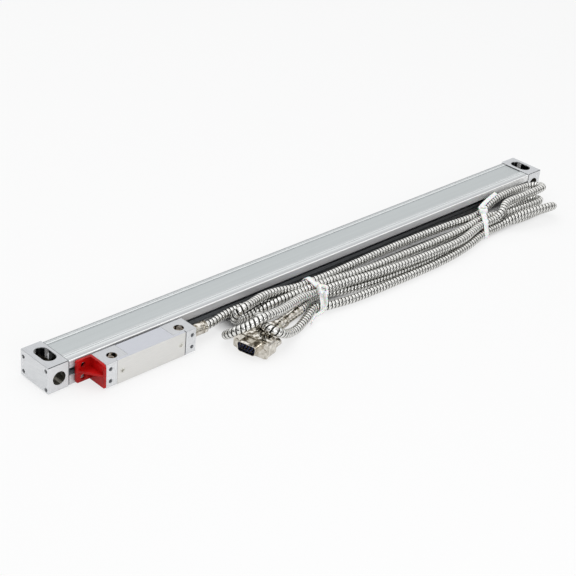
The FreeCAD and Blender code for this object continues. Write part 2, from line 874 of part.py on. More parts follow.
def gland_sleeve():
    """Crimped sleeve that grips the hose, with one turned groove."""
    x0 = head_right + gland_collar_length
    x1 = x0 + gland_sleeve_length
    groove_x = x1 - gland_sleeve_length * 0.3
    r = gland_sleeve_radius
    outline = [(x0, 0), (x1, 0), (x1, r - gland_groove), (x1 - gland_groove, r),
               (groove_x + gland_groove, r), (groove_x + gland_groove, r - gland_groove),
               (groove_x - gland_groove, r - gland_groove), (groove_x - gland_groove, r),
               (x0 + gland_groove, r), (x0, r - gland_groove)]
    corners = [vector(x, gland_y, gland_z + z) for x, z in outline]
    face = Part.Face(Part.makePolygon(corners + corners[:1]))
    return face.revolve(vector(0, gland_y, gland_z), vector(1, 0, 0), 360)


def transport_bracket():
    """Moulded angle with a gusset, held to the head's end by two pegs for shipping."""
    x1 = head_left - bracket_gap
    x0 = x1 - bracket_thickness
    z0 = head_bottom + bracket_floor_gap
    z1 = head_top
    cheek_outline = [(head_back, z0), (head_front, z0), (head_front, z1 - bracket_corner),
                     (head_front + bracket_corner * 0.3, z1 - bracket_corner * 0.3),
                     (head_front + bracket_corner, z1), (head_back, z1)]
    cheek = bar_along_x(cheek_outline, x0, x1)
    foot_y = head_back - bracket_thickness
    foot_x = x1 - bracket_reach + bracket_gap
    foot = box(foot_x, x1, foot_y, head_back, z1 - bracket_foot_height, z1)
    upright = [edge for edge in edges_along(foot, "y", bracket_thickness)
               if edge.BoundBox.XMax < foot_x + 0.1]
    foot = foot.makeFillet(bracket_corner / 2, upright)
    gusset_z = z0 + bracket_gusset_height - bracket_gusset / 2
    gusset = plate([(foot_x + gusset_setback, foot_y), (x0, foot_y),
                    (x0, head_front + gusset_nose)],
                   gusset_z, gusset_z + bracket_gusset)
    pegs = [rod((x1, y, z), (1, 0, 0), bracket_peg_radius, bracket_gap + bracket_peg_length)
            for y, z in peg_places()]
    bracket = cheek.fuse([foot, gusset] + pegs).removeSplitter()
    holes = [rod((foot_x + bracket_hole_from_edge, head_back, z), (0, -1, 0),
                 bracket_hole_radius, bracket_thickness)
             for z in (z0 + bracket_hole_inset, z1 - bracket_hole_inset)]
    return bracket.cut(holes)


# Plug, built facing -X at the origin and then turned to where it lies
def place_plug(shape):
    placed = shape.copy()
    placed.rotate(vector(0, 0, 0), vector(0, 0, 1), plug_turn)
    placed.translate(vector(plug_face[0], plug_face[1], plug_level))
    return placed


def rounded_slab(x0, x1, width, height, radius):
    """Block centred on the X axis whose four long edges are rounded."""
    slab = box(x0, x1, -width / 2, width / 2, -height / 2, height / 2)
    return slab.makeFillet(min(radius, height / 2 * 0.95), edges_along(slab, "x", x1 - x0))


def d_bar(x0, x1, inset):
    """D-shaped bar, wider at the top, drawn in by an inset."""
    half = shell_width / 2 - inset
    high = shell_height / 2 - inset
    bar = bar_along_x([(-half, high), (half, high), (half - shell_slant, -high),
                       (-half + shell_slant, -high)], x0, x1)
    radius = shell_corner - inset
    return bar.makeFillet(radius, [edge for edge in bar.Edges
                                   if abs(edge.BoundBox.XLength - (x1 - x0)) < 1e-6])


def jack_places():
    return [-jack_pitch / 2, jack_pitch / 2]


def plug_shell():
    """Pressed flange with its D-shaped shroud."""
    flange = rounded_slab(0, flange_thickness, flange_width, flange_height, flange_corner)
    shroud = d_bar(-shell_reach, 0, 0)
    shell = flange.fuse(shroud)
    cuts = [d_bar(-shell_reach, flange_thickness, shell_wall)]
    for y in jack_places():
        cuts.append(rod((0, y, 0), (1, 0, 0), jack_radius + jack_fit, flange_thickness))
    return place_plug(shell.cut(cuts))


def plug_insert():
    """Moulded block that carries the pins."""
    block = d_bar(-insert_front, flange_thickness + insert_back, shell_wall + insert_fit)
    return place_plug(block.cut([rod((-insert_front, y, z), (1, 0, 0), pin_radius,
                                     insert_front + flange_thickness + insert_back)
                                 for y, z in pin_places()]))


def pin_places():
    upper = [((i - 2) * pin_pitch, pin_row_gap / 2) for i in range(5)]
    lower = [((i - 1.5) * pin_pitch, -pin_row_gap / 2) for i in range(4)]
    return upper + lower


def plug_pins():
    return [place_plug(rod((-pin_front, y, z), (1, 0, 0), pin_radius, pin_front + pin_back))
            for y, z in pin_places()]


hood_front = flange_thickness
hood_waist_x = hood_front + hood_ear
hood_taper_x = hood_waist_x + hood_waist_length
hood_neck_x = hood_taper_x + hood_taper_length
hood_end = hood_neck_x + hood_neck_length


def hood_solid():
    """Whole hood before it is split: ears, waist, taper and neck."""
    ears = rounded_slab(hood_front, hood_waist_x, hood_width, hood_height, hood_corner)
    waist_height = hood_height - 2 * hood_step
    waist = rounded_slab(hood_waist_x, hood_taper_x, hood_waist, waist_height, hood_corner)
    wide = rounded_slab(hood_taper_x, hood_taper_x + 1, hood_waist, waist_height, hood_corner)
    wide_wire = [face for face in wide.Faces if face.BoundBox.XLength < 1e-6][0].OuterWire
    start = min(wide_wire.Vertexes, key=lambda v: v.X).X
    wide_wire.translate(vector(hood_taper_x - start, 0, 0))
    narrow = rounded_slab(hood_neck_x, hood_neck_x + 1, 2 * hood_neck_radius,
                          2 * hood_neck_radius, hood_neck_radius * 0.9)
    narrow_wire = [face for face in narrow.Faces if face.BoundBox.XLength < 1e-6][0].OuterWire
    start = min(narrow_wire.Vertexes, key=lambda v: v.X).X
    narrow_wire.translate(vector(hood_neck_x - start, 0, 0))
    taper = Part.makeLoft([wide_wire, narrow_wire], True, True)
    neck = rod((hood_neck_x, 0, 0), (1, 0, 0), hood_neck_radius * 0.97, hood_neck_length)
    return ears.fuse([waist, taper, neck])


def hood_half(side):
    """Upper or lower die-cast half, with a pocket for the insert and the jack screws' holes."""
    deep = hood_height
    z0 = 0 if side > 0 else -deep
    keep = box(0, hood_end + 1, -hood_width, hood_width, z0, z0 + deep)
    half = hood_solid().common(keep)
    side_room = shell_width / 2 + hood_pocket_gap
    upright_room = shell_height / 2 + hood_pocket_gap
    cuts = [box(hood_front, hood_front + insert_back + pin_room, -side_room, side_room,
                -upright_room, upright_room)]
    for y in jack_places():
        cuts.append(rod((hood_front, y, 0), (1, 0, 0), jack_radius + jack_fit, hood_ear))
    for y in hood_screw_places():
        cuts.append(rod((hood_screw_x(), y, hood_screw_inset - hood_height / 2), (0, 0, 1),
                        hood_screw_radius + screw_fit, hood_height))
        cuts.append(rod((hood_screw_x(), y, hood_top() - hood_screw_head_height), (0, 0, 1),
                        hood_screw_head_radius + screw_fit, hood_height))
    return place_plug(half.cut(cuts))


def hood_screw_places():
    return [-hood_screw_spacing / 2, hood_screw_spacing / 2]


def hood_screw_x():
    return (hood_waist_x + hood_taper_x) / 2


def hood_top():
    return hood_height / 2 - hood_step


def hood_screws():
    """Two screws that hold the halves together, their heads sunk level with the hood's waist."""
    seat = hood_top() - hood_screw_head_height
    low = hood_screw_inset - hood_height / 2
    x = hood_screw_x()
    screws = []
    for y in hood_screw_places():
        shank = rod((x, y, low), (0, 0, 1), hood_screw_radius, seat - low)
        head = rod((x, y, seat), (0, 0, 1), hood_screw_head_radius, hood_screw_head_height)
        slot = box(x - hood_screw_head_radius, x + hood_screw_head_radius,
                   y - hood_slot_half, y + hood_slot_half,
                   hood_top() - hood_screw_head_height / 2, hood_top())
        screws.append(place_plug(shank.fuse(head).cut(slot)))
    return screws


def jack_screw(y):
    """Screw that locks the plug to its socket, with a knurled thumb head behind the ear."""
    head_x = hood_waist_x + jack_head_gap
    head_end = head_x + jack_head_length
    tip = rod((-jack_tip, y, 0), (1, 0, 0), jack_radius, jack_tip + head_x)
    head = rod((head_x, y, 0), (1, 0, 0), jack_head_radius, jack_head_length)
    head = head.makeChamfer(turned_edge, [edge for edge in head.Edges if edge.Length > 10])
    slot = box(head_end - jack_slot_depth, head_end, y - jack_head_radius, y + jack_head_radius,
               -jack_slot_half, jack_slot_half)
    return place_plug(tip.fuse(head).cut(slot))


def plug_clamp():
    """Clamp nut behind the hood, with flats round it."""
    nut = rod((hood_end, 0, 0), (1, 0, 0), clamp_radius, clamp_length)
    nut = nut.makeChamfer(turned_edge, [edge for edge in nut.Edges if edge.Length > 10])
    flats = []
    for turn in range(6):
        flat = box(hood_end + clamp_flat_margin, hood_end + clamp_length - clamp_flat_margin,
                   clamp_radius - clamp_flat_depth, 2 * clamp_radius, -clamp_radius, clamp_radius)
        flat.rotate(vector(0, 0, 0), vector(1, 0, 0), 60 * turn)
        flats.append(flat)
    return place_plug(nut.cut(flats))


def plug_ferrule():
    """Smooth sleeve that ends the armoured hose at the plug."""
    x0 = hood_end + clamp_length
    sleeve = rod((x0, 0, 0), (1, 0, 0), ferrule_radius, ferrule_length)
    return place_plug(sleeve.makeFillet(turned_edge, [edge for edge in sleeve.Edges if edge.Length > 10]))


def plug_point(distance):
    """Point on the plug's axis at a distance behind its face."""
    angle = math.radians(plug_turn)
    return (plug_face[0] + distance * math.cos(angle), plug_face[1] + distance * math.sin(angle),
            plug_level)


# Hose: its free stretches as tubes, its folded hank as one body
gland_exit = (head_right + gland_collar_length + gland_sleeve_length, gland_y, gland_z)
ferrule_distance = hood_end + clamp_length + ferrule_length
ferrule_exit = plug_point(ferrule_distance)

lead_route = [gland_exit, (-136.5, -15.2, 10.0), (-126.0, -12.8, 10.4), (-112.0, -11.6, 10.8),
              (-94.0, -11.6, 10.2), (-74.0, -13.4, 6.8), (-55.0, -18.0, 4.7), (-43.0, -19.5, 4.7),
              (-32.0, -19.5, 4.7)]

rear_loop_route = [(-32.0, -23.9, 11.3), (-43.0, -23.9, 11.3), (-60.0, -23.3, 11.2),
                   (-82.0, -20.9, 9.2), (-95.0, -17.9, 5.0), (-102.5, -16.4, 3.6),
                   (-111.0, -16.9, 3.8), (-116.6, -18.5, 7.4), (-117.0, -21.5, 14.4),
                   (-111.2, -23.0, 18.3), (-103.4, -21.6, 18.0), (-94.0, -18.0, 16.4),
                   (-84.0, -15.6, 15.8), (-69.0, -15.0, 14.2), (-54.0, -16.6, 12.2),
                   (-43.0, -16.8, 11.3), (-32.0, -16.8, 11.3)]

front_loop_route = [(-32.0, -32.4, 11.3), (-43.0, -32.4, 11.3), (-60.0, -34.0, 15.0),
                    (-80.0, -41.8, 18.8), (-98.0, -48.2, 22.8), (-112.0, -51.6, 26.2),
                    (-122.5, -52.2, 26.0), (-131.2, -49.8, 22.4), (-138.4, -43.6, 17.6),
                    (-139.6, -35.2, 11.0), (-134.0, -29.4, 5.4), (-124.0, -28.0, 3.7),
                    (-113.5, -30.4, 5.0), (-108.4, -33.6, 12.0), (-110.6, -38.4, 19.0),
                    (-115.4, -47.5, 19.1), (-117.4, -55.4, 18.9), (-114.6, -62.2, 17.8),
                    (-105.4, -63.0, 12.2), (-94.0, -58.6, 6.2), (-82.6, -54.2, 3.7),
                    (-71.0, -48.8, 3.7), (-60.0, -43.4, 3.9), (-50.0, -39.6, 4.2),
                    (-42.0, -43.4, 4.2), (-32.0, -43.4, 4.2)]

tail_route = [ferrule_exit, plug_point(ferrule_distance + 7.0), (-51.0, -30.6, 5.8),
              (-42.0, -27.6, 4.7), (-32.0, -27.6, 4.7)]


def tube(name, points, radius):
    """Round tube along straight runs joined by tangent arcs, each as large as its runs allow."""
    corners = [vector(*point) for point in points]
    edges = []
    radii = []
    start = corners[0]
    for i in range(1, len(corners) - 1):
        before = corners[i - 1] - corners[i]
        after = corners[i + 1] - corners[i]
        shorter = min(before.Length, after.Length)
        before.normalize()
        after.normalize()
        half_turn = (math.pi - before.getAngle(after)) / 2
        reach = 0.45 * shorter
        radii.append(reach / math.tan(half_turn))
        arc_start = corners[i] + before * reach
        arc_end = corners[i] + after * reach
        bisector = before + after
        bisector.normalize()
        centre = corners[i] + bisector * (radii[-1] / math.cos(half_turn))
        arc_middle = centre - bisector * radii[-1]
        edges.append(Part.LineSegment(start, arc_start).toShape())
        edges.append(Part.Arc(arc_start, arc_middle, arc_end).toShape())
        start = arc_end
    edges.append(Part.LineSegment(start, corners[-1]).toShape())
    path = Part.Wire(edges)
    along = corners[1] - corners[0]
    circle = Part.Wire([Part.Circle(corners[0], along, radius).toShape()])
    solid = path.makePipeShell([circle], True, True)
    expected = math.pi * radius ** 2 * path.Length
    print("%s: length %.0f, radii %s, volume over section times length %.4f"
          % (name, path.Length, " ".join("%.0f" % r for r in radii), solid.Volume / expected))
    return solid


def hank_section(x, y_back, y_front, z_low, z_high):
    """Rounded outline of the hank at one place."""
    radius = min(z_high - z_low, y_back - y_front) * 0.3
    y0 = y_front
    y1 = y_back
    middle = radius * (1 - math.sqrt(0.5))

    def line(a, b):
        return Part.LineSegment(vector(x, *a), vector(x, *b)).toShape()

    def arc(a, b, c):
        return Part.Arc(vector(x, *a), vector(x, *b), vector(x, *c)).toShape()

    edges = [line((y0 + radius, z_low), (y1 - radius, z_low)),
             arc((y1 - radius, z_low), (y1 - middle, z_low + middle), (y1, z_low + radius)),
             line((y1, z_low + radius), (y1, z_high - radius)),
             arc((y1, z_high - radius), (y1 - middle, z_high - middle), (y1 - radius, z_high)),
             line((y1 - radius, z_high), (y0 + radius, z_high)),
             arc((y0 + radius, z_high), (y0 + middle, z_high - middle), (y0, z_high - radius)),
             line((y0, z_high - radius), (y0, z_low + radius)),
             arc((y0, z_low + radius), (y0 + middle, z_low + middle), (y0 + radius, z_low))]
    return Part.Wire(edges)


# Place along X, back edge, front edge, lowest and highest point of the folded runs
hank_stations = [(lead_route[-1][0], -13.0, -48.6, 0.5, 15.0),
                 (tie_places[0] - tie_half_flat, -13.3, -49.6, 0.3, 14.9),
                 (tie_places[0] + tie_half_flat, -13.4, -50.4, 0.2, 14.9),
                 (20.0, -12.4, -52.2, 0.0, 14.5),
                 (70.0, -11.5, -52.5, 0.0, 14.4),
                 (125.0, -12.4, -49.8, 0.0, 14.5),
                 (tie_places[1] - tie_half_flat, -16.4, -41.5, 1.1, 14.6),
                 (tie_places[1] + tie_half_flat, -16.0, -41.5, 1.1, 14.9),
                 (205.0, -10.0, -46.6, 0.0, 21.6),
                 (228.0, -8.4, -53.0, 0.0, 22.0),
                 (247.0, -8.4, -53.4, 0.0, 22.0),
                 (264.0, -12.0, -34.0, 5.0, 21.4)]


def cable_hank():
    return Part.makeLoft([hank_section(*station) for station in hank_stations], True, True)


def tie_section(place):
    """Section round which a tie is drawn: the larger of the two beside it."""
    beside = [station[1:] for station in hank_stations if abs(station[0] - place) == tie_half_flat]
    return [max(beside[0][0], beside[1][0]), min(beside[0][1], beside[1][1]),
            min(beside[0][2], beside[1][2]), max(beside[0][3], beside[1][3])]


def tie_band(place):
    """Flat nylon band drawn tight round the hank."""
    y_back, y_front, z_low, z_high = tie_section(place)
    x0 = place - tie_width / 2
    grown = tie_gap + tie_thickness

    def slab(offset):
        wire = hank_section(x0, y_back + offset, y_front - offset, z_low - offset, z_high + offset)
        return Part.Face(wire).extrude(vector(tie_width, 0, 0))

    return slab(grown).cut(slab(tie_gap))


def tie_lock_block(place, y_share):
    """Lock of a tie, seated on the band where the tail comes out."""
    y_back, y_front, z_low, z_high = tie_section(place)
    y = y_front + (y_back - y_front) * y_share
    z0 = z_high + tie_gap + tie_thickness
    length, width, height = tie_lock
    lock = box(place - length / 2, place + length / 2, y - width / 2, y + width / 2, z0, z0 + height)
    lock = lock.makeFillet(0.8, edges_along(lock, "z", height))
    tail_slot = box(place - tie_width / 2 + 0.4, place + tie_width / 2 - 0.4, y - 0.8, y + 0.8,
                    z0 + height / 2, z0 + height)
    return lock.cut(tail_slot)


# The housing and what is fixed in it
write("housing_profile", housing_profile())
write("seal_lip_upper", seal_lip(1))
write("seal_lip_lower", seal_lip(-1))
write("glass_strip", glass_strip())
write("glass_bond", glass_bond())
write("ruled_track", ruled_track())
write("end_gasket_left", end_gasket(left + block_length))
write("end_gasket_right", end_gasket(right - block_end))
write("end_block_left", end_block(-1))
write("end_block_right", end_block(1))
write("end_screws_left", *end_screws(-1))
write("end_screws_right", *end_screws(1))

# The reader head
write("head_body", head_body())
write("head_cover", head_cover())
write("cover_screws", *cover_screws())
write("cover_set_screw", cover_set_screw())
write("signal_board", signal_board())
write("board_parts", *board_parts())
write("board_screws", *board_screws())
write("coupling_blade", coupling_blade())
write("blade_screws", *blade_screws())
write("coupling_link", coupling_link())
write("signal_flex", signal_flex())
write("signal_wires", signal_wires())
write("gland_collar", gland_collar())
write("gland_sleeve", gland_sleeve())
write("transport_bracket", transport_bracket())

# The scanning carriage
write("scanning_carriage", scanning_carriage())
write("face_axles", *face_axles())
write("edge_axles", *edge_axles())
for number, x in enumerate(face_roller_places(), 1):
    write("face_roller_%d" % number, roller(x, face_roller_y, face_roller_z, (0, 1, 0)))
for number, x in enumerate(edge_roller_places(), 1):
    write("edge_roller_%d" % number, roller(x, edge_roller_y, edge_roller_z, (0, 0, 1)))
write("scanning_reticle", scanning_reticle())
write("sensor_board", sensor_board())
write("scan_lamp", scan_lamp())

# The cable and its plug
write("cable_lead", tube("cable_lead", lead_route, hose_radius))
write("cable_rear_loop", tube("cable_rear_loop", rear_loop_route, hose_radius))
write("cable_front_loop", tube("cable_front_loop", front_loop_route, hose_radius))
write("cable_tail", tube("cable_tail", tail_route, hose_radius))
write("cable_hank", cable_hank())
write("tie_band_left", tie_band(tie_places[0]))
write("tie_band_right", tie_band(tie_places[1]))
write("tie_lock_left", tie_lock_block(tie_places[0], 0.45))
write("tie_lock_right", tie_lock_block(tie_places[1], 0.75))
write("plug_shell", plug_shell())
write("plug_insert", plug_insert())
write("plug_pins", *plug_pins())
write("plug_hood_upper", hood_half(1))
write("plug_hood_lower", hood_half(-1))
write("hood_screws", *hood_screws())
write("jack_screw_left", jack_screw(jack_places()[0]))
write("jack_screw_right", jack_screw(jack_places()[1]))
write("plug_clamp", plug_clamp())
write("plug_ferrule", plug_ferrule())
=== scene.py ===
"""Looks of an enclosed linear glass scale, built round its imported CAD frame."""

import json
import math

import bpy
import numpy as np
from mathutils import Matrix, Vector


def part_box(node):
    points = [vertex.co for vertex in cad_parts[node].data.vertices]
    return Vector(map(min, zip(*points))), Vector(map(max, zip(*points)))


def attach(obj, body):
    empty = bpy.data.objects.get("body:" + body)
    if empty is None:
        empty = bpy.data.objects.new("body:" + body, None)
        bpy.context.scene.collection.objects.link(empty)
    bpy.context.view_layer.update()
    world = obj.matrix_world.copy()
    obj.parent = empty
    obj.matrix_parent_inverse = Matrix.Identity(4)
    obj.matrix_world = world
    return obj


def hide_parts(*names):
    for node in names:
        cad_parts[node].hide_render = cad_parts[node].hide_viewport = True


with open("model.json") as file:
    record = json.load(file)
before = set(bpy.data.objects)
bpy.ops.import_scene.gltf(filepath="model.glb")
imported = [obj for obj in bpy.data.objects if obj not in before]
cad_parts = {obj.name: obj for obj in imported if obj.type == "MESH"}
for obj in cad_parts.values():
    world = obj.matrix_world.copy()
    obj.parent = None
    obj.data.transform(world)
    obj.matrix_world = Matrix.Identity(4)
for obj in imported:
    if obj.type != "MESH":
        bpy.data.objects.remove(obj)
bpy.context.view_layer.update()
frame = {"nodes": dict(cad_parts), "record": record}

bl_info = {
    "name": "Linear glass scale",
    "version": (1, 0, 0),
    "blender": (4, 5, 0),
    "location": "View3D > Sidebar > Glass scale",
    "description": "Finishes, armoured hose and ties of an enclosed linear glass scale",
    "category": "Object",
}

MM = 0.001
HEAD_BODY = "reader_head"

# Hose route in metres, from the gland to the plug's ferrule
LEAD = [(-0.1431, -0.0152, 0.0100), (-0.1365, -0.0152, 0.0100), (-0.1260, -0.0128, 0.0104),
        (-0.1120, -0.0116, 0.0108), (-0.0940, -0.0116, 0.0102), (-0.0740, -0.0134, 0.0068),
        (-0.0550, -0.0180, 0.0047), (-0.0430, -0.0195, 0.0047)]
RUN_1 = [(-0.0320, -0.0195, 0.0047), (-0.0160, -0.0195, 0.0047), (0.0150, -0.0202, 0.0036),
         (0.0550, -0.0204, 0.0036), (0.0950, -0.0206, 0.0036), (0.1350, -0.0226, 0.0038),
         (0.1630, -0.0237, 0.0047), (0.1810, -0.0237, 0.0047), (0.2060, -0.0212, 0.0038),
         (0.2240, -0.0194, 0.0037), (0.2370, -0.0178, 0.0038)]
BEND_1 = [(0.2470, -0.0190, 0.0044), (0.2525, -0.0260, 0.0072), (0.2485, -0.0334, 0.0102)]
RUN_2 = [(0.2380, -0.0356, 0.0109), (0.2220, -0.0344, 0.0108), (0.2050, -0.0320, 0.0102),
         (0.1920, -0.0286, 0.0099), (0.1810, -0.0271, 0.0109), (0.1630, -0.0271, 0.0109),
         (0.1350, -0.0306, 0.0102), (0.0950, -0.0299, 0.0098), (0.0550, -0.0288, 0.0098),
         (0.0150, -0.0280, 0.0100), (-0.0140, -0.0252, 0.0113), (-0.0320, -0.0239, 0.0113)]
REAR_LOOP = [(-0.0430, -0.0239, 0.0113), (-0.0600, -0.0233, 0.0112), (-0.0820, -0.0209, 0.0092),
             (-0.0950, -0.0179, 0.0050), (-0.1025, -0.0164, 0.0036), (-0.1110, -0.0169, 0.0038),
             (-0.1166, -0.0185, 0.0074), (-0.1170, -0.0215, 0.0144), (-0.1112, -0.0230, 0.0183),
             (-0.1034, -0.0216, 0.0180), (-0.0940, -0.0180, 0.0164), (-0.0840, -0.0156, 0.0158),
             (-0.0690, -0.0150, 0.0142), (-0.0540, -0.0166, 0.0122), (-0.0430, -0.0168, 0.0113)]
RUN_3 = [(-0.0320, -0.0168, 0.0113), (-0.0140, -0.0176, 0.0113), (0.0150, -0.0161, 0.0108),
         (0.0550, -0.0151, 0.0108), (0.0950, -0.0151, 0.0106), (0.1350, -0.0166, 0.0106),
         (0.1630, -0.0200, 0.0109), (0.1790, -0.0194, 0.0112), (0.1940, -0.0158, 0.0136),
         (0.2090, -0.0130, 0.0154), (0.2280, -0.0120, 0.0152), (0.2450, -0.0116, 0.0138)]
BEND_2 = [(0.2560, -0.0116, 0.0132), (0.2630, -0.0198, 0.0156), (0.2574, -0.0284, 0.0184),
          (0.2460, -0.0290, 0.0186)]
RUN_4 = [(0.2300, -0.0290, 0.0185), (0.2100, -0.0276, 0.0182), (0.2000, -0.0286, 0.0180),
         (0.1905, -0.0340, 0.0154), (0.1810, -0.0346, 0.0109), (0.1630, -0.0343, 0.0110),
         (0.1500, -0.0364, 0.0109), (0.1250, -0.0434, 0.0109), (0.0900, -0.0432, 0.0108),
         (0.0550, -0.0418, 0.0108), (0.0200, -0.0384, 0.0109), (-0.0080, -0.0346, 0.0113),
         (-0.0320, -0.0324, 0.0113)]
FRONT_LOOP = [(-0.0430, -0.0324, 0.0113), (-0.0600, -0.0340, 0.0150), (-0.0800, -0.0418, 0.0188),
              (-0.0980, -0.0482, 0.0228), (-0.1120, -0.0516, 0.0262), (-0.1225, -0.0522, 0.0260),
              (-0.1312, -0.0498, 0.0224), (-0.1384, -0.0436, 0.0176), (-0.1396, -0.0352, 0.0110),
              (-0.1340, -0.0294, 0.0054), (-0.1240, -0.0280, 0.0037), (-0.1135, -0.0304, 0.0050),
              (-0.1084, -0.0336, 0.0120), (-0.1106, -0.0384, 0.0190), (-0.1154, -0.0475, 0.0191),
              (-0.1174, -0.0554, 0.0189), (-0.1146, -0.0622, 0.0178), (-0.1054, -0.0622, 0.0122),
              (-0.0940, -0.0568, 0.0060), (-0.0826, -0.0536, 0.0037), (-0.0710, -0.0488, 0.0037),
              (-0.0600, -0.0436, 0.0039), (-0.0490, -0.0380, 0.0042), (-0.0420, -0.0430, 0.0042)]
RUN_5 = [(-0.0320, -0.0446, 0.0042), (-0.0140, -0.0472, 0.0036), (0.0150, -0.0484, 0.0036),
         (0.0550, -0.0489, 0.0036), (0.0950, -0.0489, 0.0036), (0.1300, -0.0454, 0.0038),
         (0.1630, -0.0378, 0.0047), (0.1810, -0.0378, 0.0047), (0.1900, -0.0388, 0.0064),
         (0.2000, -0.0410, 0.0096), (0.2120, -0.0440, 0.0118), (0.2240, -0.0472, 0.0128)]
BEND_3 = [(0.2320, -0.0492, 0.0134), (0.2410, -0.0504, 0.0134), (0.2480, -0.0488, 0.0104),
          (0.2486, -0.0424, 0.0052), (0.2420, -0.0389, 0.0036), (0.2320, -0.0390, 0.0036)]
RUN_6 = [(0.2220, -0.0392, 0.0036), (0.2100, -0.0384, 0.0036), (0.1980, -0.0352, 0.0037),
         (0.1900, -0.0320, 0.0039), (0.1810, -0.0307, 0.0047), (0.1630, -0.0307, 0.0047),
         (0.1350, -0.0366, 0.0038), (0.0950, -0.0414, 0.0036), (0.0550, -0.0414, 0.0036),
         (0.0150, -0.0384, 0.0036), (-0.0100, -0.0342, 0.0038), (-0.0320, -0.0280, 0.0047)]
TAIL = [(-0.0420, -0.0276, 0.0047), (-0.0510, -0.0306, 0.0058), (-0.0594, -0.0369, 0.0075),
        (-0.0662, -0.0385, 0.0075)]
ROUTE = (LEAD + RUN_1 + BEND_1 + RUN_2 + REAR_LOOP + RUN_3 + BEND_2 + RUN_4 + FRONT_LOOP
         + RUN_5 + BEND_3 + RUN_6 + TAIL)

HOSE_NODES = ("cable_lead", "cable_rear_loop", "cable_front_loop", "cable_tail", "cable_hank")

UP = (0.0, 0.0, 1.0)

# Hose: points of its line for each place of the route, vertices round it, samples along one ridge,
# and the shares of a ridge over which it rises and falls
HOSE_RESOLUTION = 24
HOSE_STEPS = 24
RIDGE_SAMPLES = 9
RIDGE_RISE = 0.22
RIDGE_FALL = 0.34

# Band of a tie: how far from its middle it looks for runs of the hose and its gap to them, in mm,
# then points round each run and round the band
TIE_REACH = 45.0
TIE_GAP = 0.15
RUN_STEPS = 48
TIE_POINTS = 120

# Tail of a tie: points of its line for each given place, points along it, and its size beside the band's
STRAP_RESOLUTION = 12
TAIL_POINTS = 40
TAIL_SHARE = 0.8

# Section of a strap: place across it and up from its inner face, as shares of width and thickness
STRAP_SECTION = ((-0.5, 0.1), (-0.44, 0.0), (0.44, 0.0), (0.5, 0.1), (0.5, 0.75), (0.4, 1.0),
                 (0.0, 1.08), (-0.4, 1.0), (-0.5, 0.75))

# Lock of a tie: how deep it sits in the band, how square its corners are, vertices round it, and its
# rings from the seat to the top and down into the slot: height, length and width as shares
LOCK_SEAT = 0.6
LOCK_CORNER = 0.28
LOCK_STEPS = 32
LOCK_RINGS = ((0.0, 0.94, 0.94), (0.12, 1.0, 1.0), (0.7, 0.98, 0.98), (0.92, 0.92, 0.92),
              (1.0, 0.8, 0.8), (1.0, 0.36, 0.62), (0.55, 0.32, 0.58))

# Profile, in mm of the CAD frame: the recessed panel, the front face and its upper edge with a painted
# highlight, the lower front strip with painted hose shadow, and where along X the painted light on the
# front turns brighter, the painted shadow on the strip darker and the lips blacker
PANEL_Z = (19.0, 20.57)
FRONT_FACE_Y = -6.8
FRONT_EDGE_Y = -6.2
FRONT_EDGE_Z = 20.4
LOWER_STRIP_Y = -5.2
LOWER_STRIP_Z = 9.0
FRONT_FADE_X = (90.0, 220.0)
STRIP_FADE_X = (-180.0, -110.0)
LIP_FADE_X = (-160.0, 160.0)

# End blocks, in mm: the upper front edge, the pocket and the painted highlights on its walls, whose X
# counts from the middle of the bore, and the long bore with its ribs
BLOCK_EDGE_Y = -6.7
BLOCK_EDGE_Z = 21.3
POCKET_HALF = 5.7
POCKET_Y = (-5.9, 25.0)
POCKET_FLOOR = 9.8
POCKET_DULL = 13.5
POCKET_RIM = 21.1
RIGHT_HIGHLIGHT_Y = (12.8, 16.6)
REAR_HIGHLIGHT_X = (-3.2, -1.4)
REAR_HIGHLIGHT_Y = 9.6
BORE_X = 270.6
BORE_Z = 10.3
BORE_Y = (-6.9, 20.2)
BORE_RADIUS = (2.5, 5.5)
RIB_PITCH = 1.1

# Reader head, in mm: the bores in its lugs, and how far the painted gap shadow reaches in from the
# cover's edges
LUG_MIDDLE_X = -202.35
LUG_HALF_SPACING = 30.85
LUG_Y = -17.9
LUG_BORE_RADIUS = 4.6
LUG_TOP = 20.1
RIGHT_GAP_SHADOW = 0.55
REAR_GAP_SHADOW = 0.35

# How far a face looks up before it counts as a top
LOOKS_UP = 0.6

# Sockets of the Mix node when it mixes colours
MIX_INPUTS = (0, 6, 7)
MIX_OUTPUT = 2

# Camera: its place in mm, its turn in degrees, its lens for a frame in mm, and the level direction
# in which it looks
CAMERA_PLACE = (-764.69, -687.11, 572.36)
CAMERA_TURN = (60.0954, -4.4636, -43.9471)
CAMERA_LENS = 89.298
CAMERA_FRAME = 36.0
CAMERA_AHEAD = (0.69, 0.72)

# Floor: its level, its half width and the ground under the folded hose, which gets no glow and so is
# painted shade, in mm, then how strongly it glows and how much of that mirrors see
FLOOR_LEVEL = -1.0
FLOOR_HALF = 4000.0
HANK_X = (-120.0, 248.0)
HANK_Y = (-36.0, 10.0)
FLOOR_GLOW = 0.72
MIRRORED_GLOW = 0.6

# Power of the front light as a share of the key light's
FILL_SHARE = 1.12


def linear(colour):
    """Linear colour from an sRGB hex code; a colour setting is linear already."""
    if not isinstance(colour, str):
        return tuple(colour)
    channels = [int(colour[i:i + 2], 16) / 255 for i in (1, 3, 5)]
    return [c / 12.92 if c <= 0.04045 else ((c + 0.055) / 1.055) ** 2.4 for c in channels] + [1.0]


def colour_setting(name, description, code):
    """Colour that can be set, with its default from a hex code."""
    return bpy.props.FloatVectorProperty(name=name, description=description, default=linear(code),
                                         size=4, min=0.0, max=1.0, subtype="COLOR")


